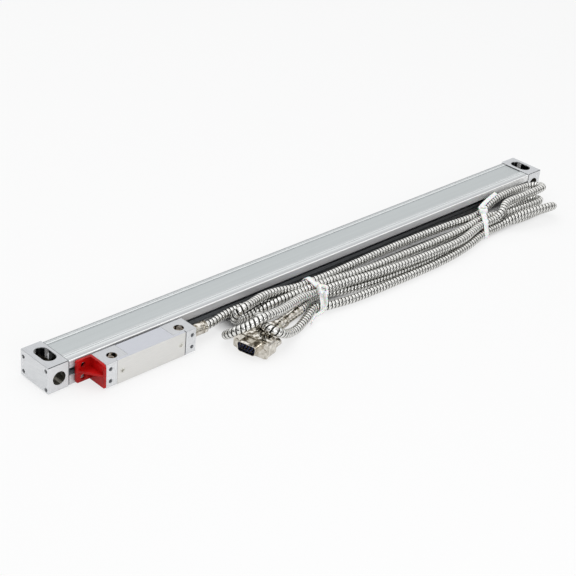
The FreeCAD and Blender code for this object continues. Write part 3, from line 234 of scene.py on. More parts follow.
class ScaleSettings(bpy.types.PropertyGroup):
    """Sizes, colours and light that can be set before the pieces are made."""

    hose_diameter: bpy.props.FloatProperty(
        name="Hose diameter", description="Outer diameter over the ridges",
        default=0.007, unit="LENGTH")
    hose_length: bpy.props.FloatProperty(
        name="Hose length", description="Length from the gland to the ferrule",
        default=2.37, unit="LENGTH")
    ridge_pitch: bpy.props.FloatProperty(
        name="Ridge pitch", description="Distance from one ridge of the hose to the next",
        default=0.0034, unit="LENGTH")
    ridge_depth: bpy.props.FloatProperty(
        name="Ridge depth", description="Depth of the groove between two ridges",
        default=0.0008, unit="LENGTH")
    tie_width: bpy.props.FloatProperty(
        name="Tie width", description="Width of the nylon ties",
        default=0.0048, unit="LENGTH")
    tie_thickness: bpy.props.FloatProperty(
        name="Tie thickness", description="Thickness of the nylon ties",
        default=0.0010, unit="LENGTH")
    brush_spacing: bpy.props.FloatProperty(
        name="Brush line spacing", description="Distance between extrusion lines",
        default=0.00025, unit="LENGTH")
    key_power: bpy.props.FloatProperty(
        name="Key light power", description="Power of the large light above the object",
        default=4.2, unit="POWER")
    bracket_colour: colour_setting("Bracket colour", "Transport bracket, paler clouds", "#BE0A0A")
    bracket_shade: colour_setting("Bracket shade", "Transport bracket, deeper clouds", "#9C0606")
    insert_colour: colour_setting("Insert colour", "Insert of the plug, paler clouds", "#3C4A7C")
    insert_shade: colour_setting("Insert shade", "Insert of the plug, deeper clouds", "#2E3A66")
    tie_colour: colour_setting("Tie colour", "Nylon ties, paler clouds", "#FEFEFC")
    tie_shade: colour_setting("Tie shade", "Nylon ties, deeper clouds", "#F2F3F1")


def add_node(tree, kind, inputs=None, **settings):
    """New shader node with its settings, its inputs set or linked by name or number."""
    node = tree.nodes.new("ShaderNode" + kind)
    for name, value in settings.items():
        setattr(node, name, value)
    for name, value in (inputs or {}).items():
        if isinstance(value, bpy.types.NodeSocket):
            tree.links.new(value, node.inputs[name])
        else:
            node.inputs[name].default_value = value
    return node


def new_material(name, colour, roughness, metallic=0.0, **others):
    """Material with its main shader set; returns the material, its tree and its shader."""
    material = bpy.data.materials.new(name)
    material.use_nodes = True
    tree = material.node_tree
    shader = tree.nodes["Principled BSDF"]
    shader.inputs["Base Color"].default_value = linear(colour)
    shader.inputs["Roughness"].default_value = roughness
    shader.inputs["Metallic"].default_value = metallic
    for key, value in others.items():
        shader.inputs[key.replace("_", " ")].default_value = value
    return material, tree, shader


def place(tree, stretch=(1.0, 1.0, 1.0)):
    """Object coordinates, in metres, stretched along each axis."""
    where = add_node(tree, "TexCoord").outputs["Object"]
    return add_node(tree, "Mapping", {"Vector": where, "Scale": stretch}).outputs["Vector"]


def coordinates(tree):
    """The x, y and z coordinate of a spot on the object, in metres."""
    return add_node(tree, "SeparateXYZ", {"Vector": place(tree)}).outputs


def upward(tree):
    """How far a face looks up: 1 on a level top, 0 on an upright side."""
    normal = add_node(tree, "NewGeometry").outputs["Normal"]
    return add_node(tree, "SeparateXYZ", {"Vector": normal}).outputs["Z"]


def maths(tree, operation, first, second=0.0, third=0.0):
    """Result socket of one sum."""
    return add_node(tree, "Math", {0: first, 1: second, 2: third}, operation=operation).outputs[0]


def product(tree, first, second):
    """Two values multiplied; for two masks, 1 where both are."""
    return maths(tree, "MULTIPLY", first, second)


def larger(tree, first, second):
    """The larger of two values; for two masks, 1 where either is."""
    return maths(tree, "MAXIMUM", first, second)


def more_than(tree, value, level):
    """1 where a value is more than a level, with a hard edge."""
    return maths(tree, "GREATER_THAN", value, level)


def distance(tree, first, second):
    """Length of two steps at right angles."""
    return maths(tree, "SQRT", maths(tree, "ADD", product(tree, first, first),
                                     product(tree, second, second)))


def fade(tree, value, start, end, low=0.0, high=1.0):
    """Goes from low to high while a value goes from start to end, and stays there."""
    return add_node(tree, "MapRange", {"Value": value, "From Min": start, "From Max": end,
                                       "To Min": low, "To Max": high}).outputs["Result"]


def sweep(tree, coordinate, start, end, low=0.0, high=1.0):
    """Goes from low to high while a coordinate goes from start to end, both in mm."""
    return fade(tree, coordinate, start * MM, end * MM, low, high)


def above(tree, coordinate, level, soft):
    """1 where a coordinate is past a level, with a soft edge; both in mm."""
    return sweep(tree, coordinate, level - soft, level + soft)


def below(tree, coordinate, level, soft):
    """1 where a coordinate is short of a level, with a soft edge; both in mm."""
    return sweep(tree, coordinate, level - soft, level + soft, 1.0, 0.0)


def between(tree, coordinate, low, high, soft):
    """1 where a coordinate lies between two levels, with soft edges; all in mm."""
    return product(tree, above(tree, coordinate, low, soft), below(tree, coordinate, high, soft))


def noise(tree, vector, spacing, detail=3.0):
    """Noise whose patches are about one spacing, in metres, across."""
    return add_node(tree, "TexNoise", {"Vector": vector, "Scale": 1.0 / spacing,
                                       "Detail": detail}).outputs["Fac"]


def ramp(tree, value, stops):
    """Colour ramp with (position, colour) stops."""
    node = add_node(tree, "ValToRGB", {"Fac": value})
    elements = node.color_ramp.elements
    while len(elements) < len(stops):
        elements.new(0.5)
    for element, (position, colour) in zip(elements, stops):
        element.position = position
        element.color = linear(colour)
    return node.outputs["Color"]


def tones(tree, pattern, first, second):
    """Two colours that a noise pattern, which lies mostly from 0.3 to 0.7, moves between."""
    return ramp(tree, pattern, [(0.3, first), (0.7, second)])


def mix(tree, factor, first, second, blend="MIX"):
    """Colour between two colours, each a socket or a hex code."""
    node = add_node(tree, "Mix", data_type="RGBA", blend_type=blend)
    for number, value in zip(MIX_INPUTS, (factor, first, second)):
        if isinstance(value, bpy.types.NodeSocket):
            tree.links.new(value, node.inputs[number])
        elif isinstance(value, str):
            node.inputs[number].default_value = linear(value)
        else:
            node.inputs[number].default_value = value
    return node.outputs[MIX_OUTPUT]


def paint(tree, shader, colour):
    """Gives the shader its colour."""
    tree.links.new(colour, shader.inputs["Base Color"])


def vary(tree, shader, pattern, smoothest, roughest):
    """Lets a pattern from 0 to 1 move the shader's roughness between two values."""
    tree.links.new(fade(tree, pattern, 0.0, 1.0, smoothest, roughest), shader.inputs["Roughness"])


def bump(tree, shader, height, relief):
    """Relief of a given height in metres on the shader."""
    node = add_node(tree, "Bump", {"Height": height, "Distance": relief, "Strength": 1.0})
    tree.links.new(node.outputs["Normal"], shader.inputs["Normal"])


# Extruded profile: drawn lines along X, satin anodising, a duller recessed panel, painted highlights on
# the grooves and the upper front edge, painted light that makes the front face lighter and brighter
# towards the right, and painted hose shadow that makes the lower front strip nearly black
def profile_anodised(settings):
    material, tree, shader = new_material("anodised aluminium extrusion", "#C4CACB", 0.42, 0.45)
    along = place(tree, (0.01, 1.0, 1.0))
    lines = noise(tree, along, settings.brush_spacing, 4.0)
    wide_lines = noise(tree, along, settings.brush_spacing * 12, 2.0)
    brightness = maths(tree, "ADD", product(tree, lines, 0.5), product(tree, wide_lines, 0.5))
    dim_land = tones(tree, brightness, "#B4B6B8", "#C0C2C4")
    groove_highlight = tones(tree, brightness, "#E0E3E4", "#EAEDED")
    panel = tones(tree, brightness, "#B7BCBD", "#C1C6C7")
    # Front face: a lit tone as painted light, lighter than the top, and brighter still towards the right
    front = tones(tree, brightness, "#CACACC", "#DADBDD")
    painted_light_front = tones(tree, brightness, "#F2F3F3", "#FFFFFF")
    colour = tones(tree, brightness, "#C6C9CA", "#D0D3D4")
    x, y, z = coordinates(tree)
    # The bright bands on the grooves are painted highlights
    for near, far, tone in ((-5.9, -4.0, dim_land), (-2.4, -0.65, groove_highlight), (0.0, 1.45, groove_highlight),
                            (19.95, 21.85, groove_highlight), (23.9, 24.9, dim_land)):
        colour = mix(tree, between(tree, y, near, far, 0.1), colour, tone)
    colour = mix(tree, between(tree, z, *PANEL_Z, 0.03), colour, panel)
    # Painted light: the front face turns brighter towards the right
    front = mix(tree, sweep(tree, x, *FRONT_FADE_X), front, painted_light_front)
    colour = mix(tree, below(tree, y, FRONT_FACE_Y, 0.05), colour, front)
    # Painted highlight along the rounded upper front edge
    edge = product(tree, below(tree, y, FRONT_EDGE_Y, 0.1), above(tree, z, FRONT_EDGE_Z, 0.1))
    colour = mix(tree, edge, colour, "#FFFFFF")
    # Painted hose shadow: the lower front strip turns nearly black behind the hose
    strip = product(tree, below(tree, y, LOWER_STRIP_Y, 0.1), below(tree, z, LOWER_STRIP_Z, 0.1))
    painted_hose_shadow = sweep(tree, x, *STRIP_FADE_X, 0.0, 0.9)
    colour = mix(tree, product(tree, strip, painted_hose_shadow), colour, "#1E2022")
    paint(tree, shader, colour)
    vary(tree, shader, lines, 0.34, 0.5)
    bump(tree, shader, lines, 0.012 * MM)
    return material


def beside_bore(tree, x):
    """How far a spot lies to the right of its end block's bore, in metres."""
    return maths(tree, "MULTIPLY_ADD", maths(tree, "SIGN", x), -BORE_X * MM, x)


def end_pocket(tree, x, y, z):
    """Where an end block's pocket is, and its walls: painted dark reflection and shade, two painted
    highlights, and a duller olive tone towards the floor.
    """
    aside = beside_bore(tree, x)
    inside = product(tree, between(tree, aside, -POCKET_HALF, POCKET_HALF, 0.05),
                     between(tree, z, POCKET_FLOOR, POCKET_RIM, 0.1))
    inside = product(tree, inside, between(tree, y, *POCKET_Y, 0.05))
    right_highlight = product(tree, between(tree, y, *RIGHT_HIGHLIGHT_Y, 0.2), more_than(tree, aside, 0.0))
    rear_highlight = product(tree, between(tree, aside, *REAR_HIGHLIGHT_X, 0.2),
                         more_than(tree, y, REAR_HIGHLIGHT_Y * MM))
    # Pocket walls: painted dark reflection and shade, with two painted highlights
    walls = mix(tree, larger(tree, right_highlight, rear_highlight), "#18191A", "#FFFFFF")
    return inside, mix(tree, between(tree, z, POCKET_FLOOR, POCKET_DULL, 0.4), walls, "#6E6B5C")


def end_bore(tree, x, y, z):
    """Where an end block's long bore is, and the painted shade of its ribs in dark olive-grey bands."""
    radius = distance(tree, beside_bore(tree, x), maths(tree, "SUBTRACT", z, BORE_Z * MM))
    inside = product(tree, between(tree, radius, *BORE_RADIUS, 0.03), between(tree, y, *BORE_Y, 0.1))
    waves = maths(tree, "SINE", product(tree, y, 2 * math.pi / (RIB_PITCH * MM)))
    ribs = maths(tree, "MULTIPLY_ADD", waves, 0.5, 0.5)
    # Ribs painted as light and shade in olive-grey bands
    return inside, ramp(tree, ribs, [(0.2, "#37342D"), (0.8, "#77736A")])


def lug_bores(tree, x, y, z):
    """Where the bores in the head's two lugs are, and the painted reflections in them: near-black, brown
    and bright bands.
    """
    from_middle = maths(tree, "ABSOLUTE", maths(tree, "SUBTRACT", x, LUG_MIDDLE_X * MM))
    radius = distance(tree, maths(tree, "SUBTRACT", from_middle, LUG_HALF_SPACING * MM),
                      maths(tree, "SUBTRACT", y, LUG_Y * MM))
    inside = product(tree, below(tree, radius, LUG_BORE_RADIUS, 0.05), below(tree, z, LUG_TOP, 0.1))
    bands = noise(tree, place(tree), 2.6 * MM, 0.0)
    # Painted reflections in the lug bores
    return inside, ramp(tree, bands, [(0.42, "#14100C"), (0.5, "#8E7458"), (0.57, "#F6F1EA")])


# Milled blocks and head: fine cutter lines, tops painted darker than sides as painted light, a dark
# front edge, and hollows that are smoother, with painted light in them: painted reflections, shade and
# highlights in the pockets, painted rib shading in the bores and painted reflections in the lug bores
def block_machined(settings):
    material, tree, shader = new_material("machined aluminium", "#E6E6EA", 0.26, 0.6)
    fine = noise(tree, place(tree, (1.0, 0.05, 1.0)), 0.3 * MM)
    # Sides and tops are lit copies of one finish: the tops are painted darker as painted light
    sides = ramp(tree, fine, [(0.35, "#D8DADC"), (0.65, "#E6E7E9")])
    tops = ramp(tree, fine, [(0.35, "#C0C2C5"), (0.65, "#CDCFD2")])
    colour = mix(tree, more_than(tree, upward(tree), LOOKS_UP), sides, tops)
    x, y, z = coordinates(tree)
    front_edge = product(tree, below(tree, y, BLOCK_EDGE_Y, 0.05), above(tree, z, BLOCK_EDGE_Z, 0.05))
    colour = mix(tree, front_edge, colour, "#5C5D60")
    hollow = 0.0
    for find in (end_pocket, end_bore, lug_bores):
        inside, walls = find(tree, x, y, z)
        colour = mix(tree, inside, colour, walls)
        hollow = larger(tree, hollow, inside)
    paint(tree, shader, colour)
    vary(tree, shader, hollow, 0.27, 0.16)
    bump(tree, shader, fine, 0.008 * MM)
    return material


# Ground and anodised sheet cover: fine grinding lines, painted light that makes the front warm and light
# and the top darker and faintly violet, and painted gap shadow along its right and rear edges
def cover_satin(settings):
    material, tree, shader = new_material("ground anodised sheet", "#D9D9D5", 0.36, 0.45)
    lines = noise(tree, place(tree, (0.02, 1.0, 1.0)), 0.2 * MM)
    # Painted light: the front is painted warm and light, the top darker and faintly violet
    front = tones(tree, lines, "#DAD9D6", "#E6E5E2")
    top = tones(tree, lines, "#C0C3CA", "#CCCED5")
    colour = mix(tree, more_than(tree, upward(tree), LOOKS_UP), front, top)
    far_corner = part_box("head_cover")[1]
    x, y = coordinates(tree)[:2]
    # Painted gap shadow along the cover's right and rear edges
    right_gap_shadow = more_than(tree, x, far_corner[0] - RIGHT_GAP_SHADOW * MM)
    rear_gap_shadow = more_than(tree, y, far_corner[1] - REAR_GAP_SHADOW * MM)
    paint(tree, shader, mix(tree, larger(tree, right_gap_shadow, rear_gap_shadow), colour, "#2A2730"))
    vary(tree, shader, lines, 0.3, 0.42)
    bump(tree, shader, lines, 0.006 * MM)
    return material


# Extruded lip rubber: matt black with drawn streaks, greyer towards its left end
def seal_rubber(settings):
    material, tree, shader = new_material("extruded lip rubber", "#1C1E20", 0.5)
    streaks = noise(tree, place(tree, (0.02, 1.0, 1.0)), 0.5 * MM)
    left = tones(tree, streaks, "#404448", "#5E6266")
    right = tones(tree, streaks, "#1A1B1D", "#303336")
    paint(tree, shader, mix(tree, sweep(tree, coordinates(tree)[0], *LIP_FADE_X), left, right))
    vary(tree, shader, streaks, 0.42, 0.58)
    bump(tree, shader, streaks, 0.03 * MM)
    return material


# Elastic bond under the glass: dark silicone with a soft, uneven surface
def bond_rubber(settings):
    material, tree, shader = new_material("silicone bond", "#26282A", 0.6)
    uneven = noise(tree, place(tree), 1.2 * MM)
    paint(tree, shader, tones(tree, uneven, "#1C1E20", "#34373A"))
    bump(tree, shader, uneven, 0.05 * MM)
    return material


# Float glass: clear, with the faint green of iron
def float_glass(settings):
    material, tree, shader = new_material("float glass", "#E4F2EA", 0.02, Transmission_Weight=1.0)
    paint(tree, shader, tones(tree, noise(tree, place(tree), 20 * MM), "#DDEFE5", "#EDF7F1"))
    return material


# Ruled chrome on the glass: bars 2 mm apart stand for the fine grating
def track_chrome(settings):
    material, tree, shader = new_material("ruled chrome track", "#B9BDC2", 0.12, 1.0)
    share = maths(tree, "FRACT", product(tree, coordinates(tree)[0], 1 / (2 * MM)))
    paint(tree, shader, ramp(tree, more_than(tree, share, 0.5), [(0.4, "#23262A"), (0.6, "#C2C6CA")]))
    return material


def turned_metal(name, dark, light, roughness, spacing, relief):
    """Turned or ground metal with fine lines and slight tarnish."""
    material, tree, shader = new_material(name, light, roughness, 1.0)
    lines = noise(tree, place(tree, (1.0, 1.0, 0.2)), spacing)
    blotches = noise(tree, place(tree), spacing * 14)
    both = maths(tree, "ADD", product(tree, lines, 0.4), product(tree, blotches, 0.6))
    paint(tree, shader, ramp(tree, both, [(0.32, dark), (0.66, light)]))
    vary(tree, shader, lines, roughness * 0.75, roughness * 1.3)
    bump(tree, shader, lines, relief)
    return material


# Cold-headed screws: bright zinc on steel with fine scratches
def screw_steel(settings):
    return turned_metal("zinc-plated steel", "#C4C3BC", "#F2F1EC", 0.34, 0.3 * MM, 0.01 * MM)


# Rolled spring strip: smooth, slightly blue-grey steel
def spring_steel(settings):
    return turned_metal("rolled spring steel", "#8E9499", "#C3C8CC", 0.22, 0.2 * MM, 0.005 * MM)


# Ground bearing rings: bright and smooth with fine grinding lines
def roller_steel(settings):
    return turned_metal("ground bearing steel", "#A9ACB0", "#E0E2E5", 0.12, 0.15 * MM, 0.003 * MM)


# Brass contact pins: gold painted dark with painted shade, as in the shade of the plug's shell
def contact_brass(settings):
    return turned_metal("gilt brass pins", "#2E2A20", "#5C5340", 0.25, 0.2 * MM, 0.004 * MM)


# Nickel on die-cast zinc and brass: glossy warm grey, with painted brown and bright reflections on the
# faces that look up
def nickel_plate(settings):
    material, tree, shader = new_material("nickel-plated zinc", "#E2DCD0", 0.09, 1.0)
    swell = noise(tree, place(tree), 2.2 * MM, 1.0)
    blotches = noise(tree, place(tree), 3.2 * MM, 1.5)
    side_tone = tones(tree, blotches, "#B6B0A5", "#E9E5DD")
    # Painted reflections: dark brown, grey and bright patches on the faces that look up
    painted_reflections = ramp(tree, blotches, [(0.4, "#5E574A"), (0.5, "#A9A294"), (0.6, "#F4F1EA")])
    paint(tree, shader, mix(tree, fade(tree, upward(tree), 0.5, 0.95), side_tone, painted_reflections))
    vary(tree, shader, blotches, 0.12, 0.06)
    bump(tree, shader, swell, 0.12 * MM)
    return material


# Interlocked steel strip: polished crests, with painted shade that darkens the grooves between them
def hose_steel(settings):
    material, tree, shader = new_material("polished interlocked steel", "#D8D6D0", 0.14, 1.0)
    crest = add_node(tree, "Attribute", attribute_name="crest", attribute_type="GEOMETRY").outputs["Fac"]
    steel = tones(tree, noise(tree, place(tree), 2.0 * MM), "#C8C7C3", "#F6F6F3")
    # Painted shade: near black in the grooves, fading out towards the crests
    shade = ramp(tree, crest, [(0.3, "#080807"), (0.58, "#4E4D49"), (0.82, "#FFFFFF")])
    paint(tree, shader, mix(tree, 1.0, steel, shade, "MULTIPLY"))
    vary(tree, shader, crest, 0.38, 0.12)
    bump(tree, shader, noise(tree, place(tree), 0.25 * MM), 0.006 * MM)
    return material


# Moulded bracket: glossy red polyamide, softly clouded, with a fine skin
def bracket_red(settings):
    material, tree, shader = new_material("moulded red polyamide", "#B01010", 0.3,
                                          Specular_IOR_Level=0.25)
    skin = noise(tree, place(tree), 0.2 * MM)
    cloud = noise(tree, place(tree), 8 * MM)
    paint(tree, shader, tones(tree, cloud, settings.bracket_shade, settings.bracket_colour))
    vary(tree, shader, skin, 0.32, 0.44)
    bump(tree, shader, skin, 0.006 * MM)
    return material


def moulded(name, low, high, roughness, grain, relief):
    """Moulded plastic with a fine grain and a little cloud in its colour."""
    material, tree, shader = new_material(name, high, roughness)
    skin = noise(tree, place(tree), grain)
    paint(tree, shader, tones(tree, noise(tree, place(tree), grain * 30), low, high))
    vary(tree, shader, skin, roughness * 0.85, roughness * 1.15)
    bump(tree, shader, skin, relief)
    return material


# Glass-filled carriage: black, with a dry fibrous skin
def carriage_black(settings):
    return moulded("glass-filled black plastic", "#141517", "#232527", 0.45, 0.3 * MM, 0.02 * MM)


# Chip bodies: matt black epoxy
def chip_black(settings):
    return moulded("black epoxy", "#101113", "#1D1F21", 0.55, 0.15 * MM, 0.01 * MM)


# Connector insert: dark blue thermoplastic, smooth
def insert_navy(settings):
    return moulded("navy thermoplastic", settings.insert_shade, settings.insert_colour, 0.35, 0.3 * MM,
                   0.006 * MM)


# Printed lead: amber film with a waxy sheen
def flex_amber(settings):
    return moulded("amber film", "#A05A12", "#C9781E", 0.3, 0.4 * MM, 0.004 * MM)


# Cable core: grey extruded sheath
def wire_grey(settings):
    return moulded("grey extruded sheath", "#5A5D60", "#76797C", 0.5, 0.3 * MM, 0.01 * MM)


# Light diode: clear cast resin
def lamp_clear(settings):
    material, tree, shader = new_material("clear cast resin", "#F2F1EA", 0.05, Transmission_Weight=0.9)
    paint(tree, shader, tones(tree, noise(tree, place(tree), 2 * MM), "#E8E6DC", "#F7F6F0"))
    return material


# Printed board: green lacquer over copper tracks that show as slightly paler lines
def board_green(settings):
    material, tree, shader = new_material("green lacquered board", "#1E5A34", 0.35)
    tracks = add_node(tree, "TexBrick", {"Vector": place(tree), "Scale": 1 / (3 * MM),
                                         "Color1": linear("#1A5230"), "Color2": linear("#1F6038"),
                                         "Mortar": linear("#3C7F50"), "Mortar Size": 0.05})
    paint(tree, shader, tracks.outputs["Color"])
    bump(tree, shader, tracks.outputs["Fac"], 0.02 * MM)
    return material


# Natural nylon ties: milky, light passes through, with a fine grain
def tie_nylon(settings):
    material, tree, shader = new_material("natural nylon", "#FAFAF8", 0.34, Subsurface_Weight=0.3,
                                          Subsurface_Scale=0.0015)
    cloud = noise(tree, place(tree), 3 * MM)
    paint(tree, shader, tones(tree, cloud, settings.tie_shade, settings.tie_colour))
    bump(tree, shader, noise(tree, place(tree), 0.3 * MM), 0.02 * MM)
    return material


FINISHES = {make.__name__: make for make in (
    profile_anodised, block_machined, cover_satin, seal_rubber, bond_rubber, float_glass,
    track_chrome, screw_steel, spring_steel, roller_steel, hose_steel, nickel_plate,
    bracket_red, carriage_black, board_green, chip_black, flex_amber, wire_grey, lamp_clear,
    tie_nylon, insert_navy, contact_brass)}


def finish_material(settings, slot):
    """The material of a slot, made once."""
    name = "finish_" + slot
    material = bpy.data.materials.get(name)
    if material is None:
        material = FINISHES[slot](settings)
        material.name = name
    return material


def unit(vectors):
    """The same directions with a length of 1."""
    return vectors / np.linalg.norm(vectors, axis=-1, keepdims=True)


def line_length(points):
    """Length of a line through points."""
    return np.linalg.norm(np.diff(points, axis=0), axis=1).sum()


def smooth_points(places, resolution):
    """Points along the smooth line of a spline through given points, in metres."""
    curve = bpy.data.curves.new("smooth_line", "CURVE")
    curve.dimensions = "3D"
    curve.resolution_u = resolution
    spline = curve.splines.new("NURBS")
    spline.points.add(len(places) - 1)
    for point, where in zip(spline.points, places):
        point.co = (*where, 1.0)
    spline.order_u = 3
    spline.use_endpoint_u = True
    line = bpy.data.objects.new("smooth_line", curve)
    mesh = bpy.data.meshes.new_from_object(line)
    points = np.array([vertex.co[:] for vertex in mesh.vertices])
    bpy.data.meshes.remove(mesh)
    bpy.data.objects.remove(line)
    bpy.data.curves.remove(curve)
    return points


def even_points(points, step):
    """The same line with a point every step, and each point's distance along it."""
    lengths = np.concatenate([[0.0], np.cumsum(np.linalg.norm(np.diff(points, axis=0), axis=1))])
    along = np.linspace(0.0, lengths[-1], int(round(lengths[-1] / step)) + 1)
    return np.stack([np.interp(along, lengths, column) for column in points.T], axis=1), along


def carried_frames(points):
    """Two directions across a line at each of its points, carried along without twist."""
    tangents = unit(np.gradient(points, axis=0))
    across = unit(np.cross(tangents[0], UP))
    first = np.empty_like(points)
    for i, tangent in enumerate(tangents):
        across = unit(across - tangent * across.dot(tangent))
        first[i] = across
    return first, np.cross(tangents, first)


def grid_faces(rings, steps, closed=False):
    """Quads between rings of steps vertices; closed joins the last ring to the first."""
    ring = np.arange(rings if closed else rings - 1)[:, None]
    step = np.arange(steps)[None, :]
    after = (ring + 1) % rings
    following = (step + 1) % steps
    faces = np.stack([ring * steps + step, after * steps + step, after * steps + following,
                      ring * steps + following], axis=-1)
    return [tuple(face) for face in faces.reshape(-1, 4).tolist()]


def end_faces(rings, steps):
    """Flat faces that close the first and the last ring."""
    return [tuple(range(steps)), tuple(reversed(range((rings - 1) * steps, rings * steps)))]


def mesh_object(name, vertices, faces, settings, slot, body):
    """Smooth-shaded object of a mesh that rides on a body and has a slot's finish."""
    mesh = bpy.data.meshes.new(name)
    mesh.from_pydata([tuple(vertex) for vertex in vertices], [], faces)
    mesh.validate()
    mesh.polygons.foreach_set("use_smooth", [True] * len(mesh.polygons))
    mesh.materials.append(finish_material(settings, slot))
    made = bpy.data.objects.new(name, mesh)
    bpy.context.scene.collection.objects.link(made)
    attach(made, body)
    return made


def ridge_profile(phase):
    """Height of the hose's strip over one pitch, from 0 in the groove to 1 on the crest."""
    rise = np.clip(phase / RIDGE_RISE, 0.0, 1.0)
    fall = np.clip((1.0 - phase) / RIDGE_FALL, 0.0, 1.0)
    return np.sin(rise * math.pi / 2) * np.sin(fall * math.pi / 2)


class OBJECT_OT_hose(bpy.types.Operator):
    """Armoured hose with its helical ridges, laid along its route"""

    bl_idname = "object.scale_hose"
    bl_label = "Make armoured hose"

    def execute(self, context):
        settings = context.scene.scale_settings
        points, along = even_points(smooth_points(ROUTE, HOSE_RESOLUTION),
                                    settings.ridge_pitch / RIDGE_SAMPLES)
        first, second = carried_frames(points)
        turns = np.arange(HOSE_STEPS) / HOSE_STEPS
        phase = (along[:, None] / settings.ridge_pitch + turns[None, :]) % 1.0
        crest = ridge_profile(phase)
        radius = settings.hose_diameter / 2 - settings.ridge_depth * (1.0 - crest)
        angles = 2 * math.pi * turns
        directions = (np.cos(angles)[None, :, None] * first[:, None, :]
                      + np.sin(angles)[None, :, None] * second[:, None, :])
        vertices = (points[:, None, :] + radius[:, :, None] * directions).reshape(-1, 3)
        faces = grid_faces(len(points), HOSE_STEPS) + end_faces(len(points), HOSE_STEPS)
        hose = mesh_object("armoured_hose", vertices, faces, settings, "hose_steel", HEAD_BODY)
        values = hose.data.attributes.new("crest", "FLOAT", "POINT")
        values.data.foreach_set("value", crest.reshape(-1))
        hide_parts(*HOSE_NODES)
        return {"FINISHED"}


def hull(points):
    """Outline of a set of flat points, anticlockwise."""
    ordered = sorted(map(tuple, points))

    def half(sequence):
        chain = []
        for point in sequence:
            while len(chain) > 1:
                a, b = chain[-2], chain[-1]
                if (b[0] - a[0]) * (point[1] - a[1]) - (b[1] - a[1]) * (point[0] - a[0]) > 0:
                    break
                chain.pop()
            chain.append(point)
        return chain[:-1]

    return np.array(half(ordered) + half(reversed(ordered)))


def cut_runs(origin, normal, radius):
    """Outlines of the hose's runs in a plane near its origin, as steps from that origin.

    A slanting plane cuts the round runs in ellipses.
    """
    points = even_points(smooth_points(ROUTE, HOSE_RESOLUTION), 1.0 * MM)[0]
    side = (points - origin) @ normal
    edges = []
    for i in np.nonzero(side[:-1] * side[1:] <= 0)[0]:
        ahead = points[i + 1] - points[i]
        centre = points[i] + side[i] / (side[i] - side[i + 1]) * ahead
        if np.linalg.norm(centre - origin) > TIE_REACH * MM:
            continue
        ahead = unit(ahead)
        beside = unit(np.cross(ahead, UP))
        above_run = np.cross(beside, ahead)
        for angle in np.linspace(0, 2 * math.pi, RUN_STEPS, endpoint=False):
            spoke = radius * (math.cos(angle) * beside + math.sin(angle) * above_run)
            edges.append(centre + spoke - ahead * (spoke @ normal) / (ahead @ normal) - origin)
    return np.array(edges)


def round_directions(points):
    """Direction of travel at each point of a closed line."""
    return unit(np.roll(points, -1, axis=0) - np.roll(points, 1, axis=0))


def round_the_runs(origin, normal, radius):
    """Closed line drawn tight round the hose's runs in a plane, with its outward and side directions."""
    across = unit(np.cross(UP, normal))
    rising = np.cross(normal, across)
    edges = cut_runs(origin, normal, radius)
    outline = hull(np.column_stack([edges @ across, edges @ rising]))
    loop = np.concatenate([outline, outline[:1]])
    flat_points = even_points(loop, line_length(loop) / TIE_POINTS)[0][:TIE_POINTS]
    ahead = round_directions(flat_points)
    line = origin + flat_points[:, :1] * across + flat_points[:, 1:] * rising
    away = ahead[:, 1:] * across - ahead[:, :1] * rising
    away[:, 0] = 0.0
    away = unit(away)
    return line, away, unit(np.cross(round_directions(line), away))


def strap_mesh(line, outward, sideways, width, thickness, closed):
    """Flat strap along a line, with rounded edges; its inner face lies on the line."""
    rings = [line + sideways * (width * aside) + outward * (thickness * up)
             for aside, up in STRAP_SECTION]
    vertices = np.stack(rings, axis=1).reshape(-1, 3)
    faces = grid_faces(len(line), len(STRAP_SECTION), closed)
    if not closed:
        faces += [face[::-1] for face in end_faces(len(line), len(STRAP_SECTION))]
    return vertices, faces


def lock_mesh(centre, along, outward, length, width, height):
    """Lock of a tie: a waisted block with rounded corners and a sunk slot for the tail."""
    sideways = np.cross(outward, along)
    angles = np.linspace(0, 2 * math.pi, LOCK_STEPS, endpoint=False)
    corners = [np.sign(wave) * np.abs(wave) ** LOCK_CORNER for wave in (np.cos(angles), np.sin(angles))]
    vertices = []
    for level, long_share, wide_share in LOCK_RINGS:
        for c, s in zip(*corners):
            vertices.append(centre + along * (c * length * long_share / 2)
                            + sideways * (s * width * wide_share / 2) + outward * (level * height))
    faces = [face[::-1] for face in grid_faces(len(LOCK_RINGS), LOCK_STEPS)]
    return vertices, faces + end_faces(len(LOCK_RINGS), LOCK_STEPS)


def make_tie(settings, name, origin, normal, lock_place, lock_size, tail, tail_side):
    """One nylon tie: its band, its lock near a given place, and its tail; places in mm."""
    width = settings.tie_width
    thickness = settings.tie_thickness
    line, outward, sideways = round_the_runs(np.array(origin) * MM, unit(np.array(normal)),
                                             settings.hose_diameter / 2 + TIE_GAP * MM)
    vertices, faces = strap_mesh(line, outward, sideways, width, thickness, True)
    band = mesh_object("tie_%s_strap" % name, vertices, faces, settings, "tie_nylon", HEAD_BODY)
    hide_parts("tie_band_" + name)

    index = int(np.linalg.norm(line - np.array(lock_place) * MM, axis=1).argmin())
    along = unit(line[(index + 2) % len(line)] - line[index - 2])
    seat = line[index] + outward[index] * thickness * LOCK_SEAT
    vertices, faces = lock_mesh(seat, along, outward[index], *(value * MM for value in lock_size))
    lock = mesh_object("tie_%s_head" % name, vertices, faces, settings, "tie_nylon", HEAD_BODY)
    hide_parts("tie_lock_" + name)

    curve = smooth_points([Vector(where) * MM for where in tail], STRAP_RESOLUTION)
    path = even_points(curve, line_length(curve) / (TAIL_POINTS - 1))[0]
    tangents = unit(np.gradient(path, axis=0))
    up = unit(np.cross(tangents, unit(np.array(tail_side))))
    vertices, faces = strap_mesh(path, up, np.cross(up, tangents), width * TAIL_SHARE,
                                 thickness * TAIL_SHARE, False)
    mesh_object("tie_%s_tail" % name, vertices, faces, settings, "tie_nylon", HEAD_BODY)


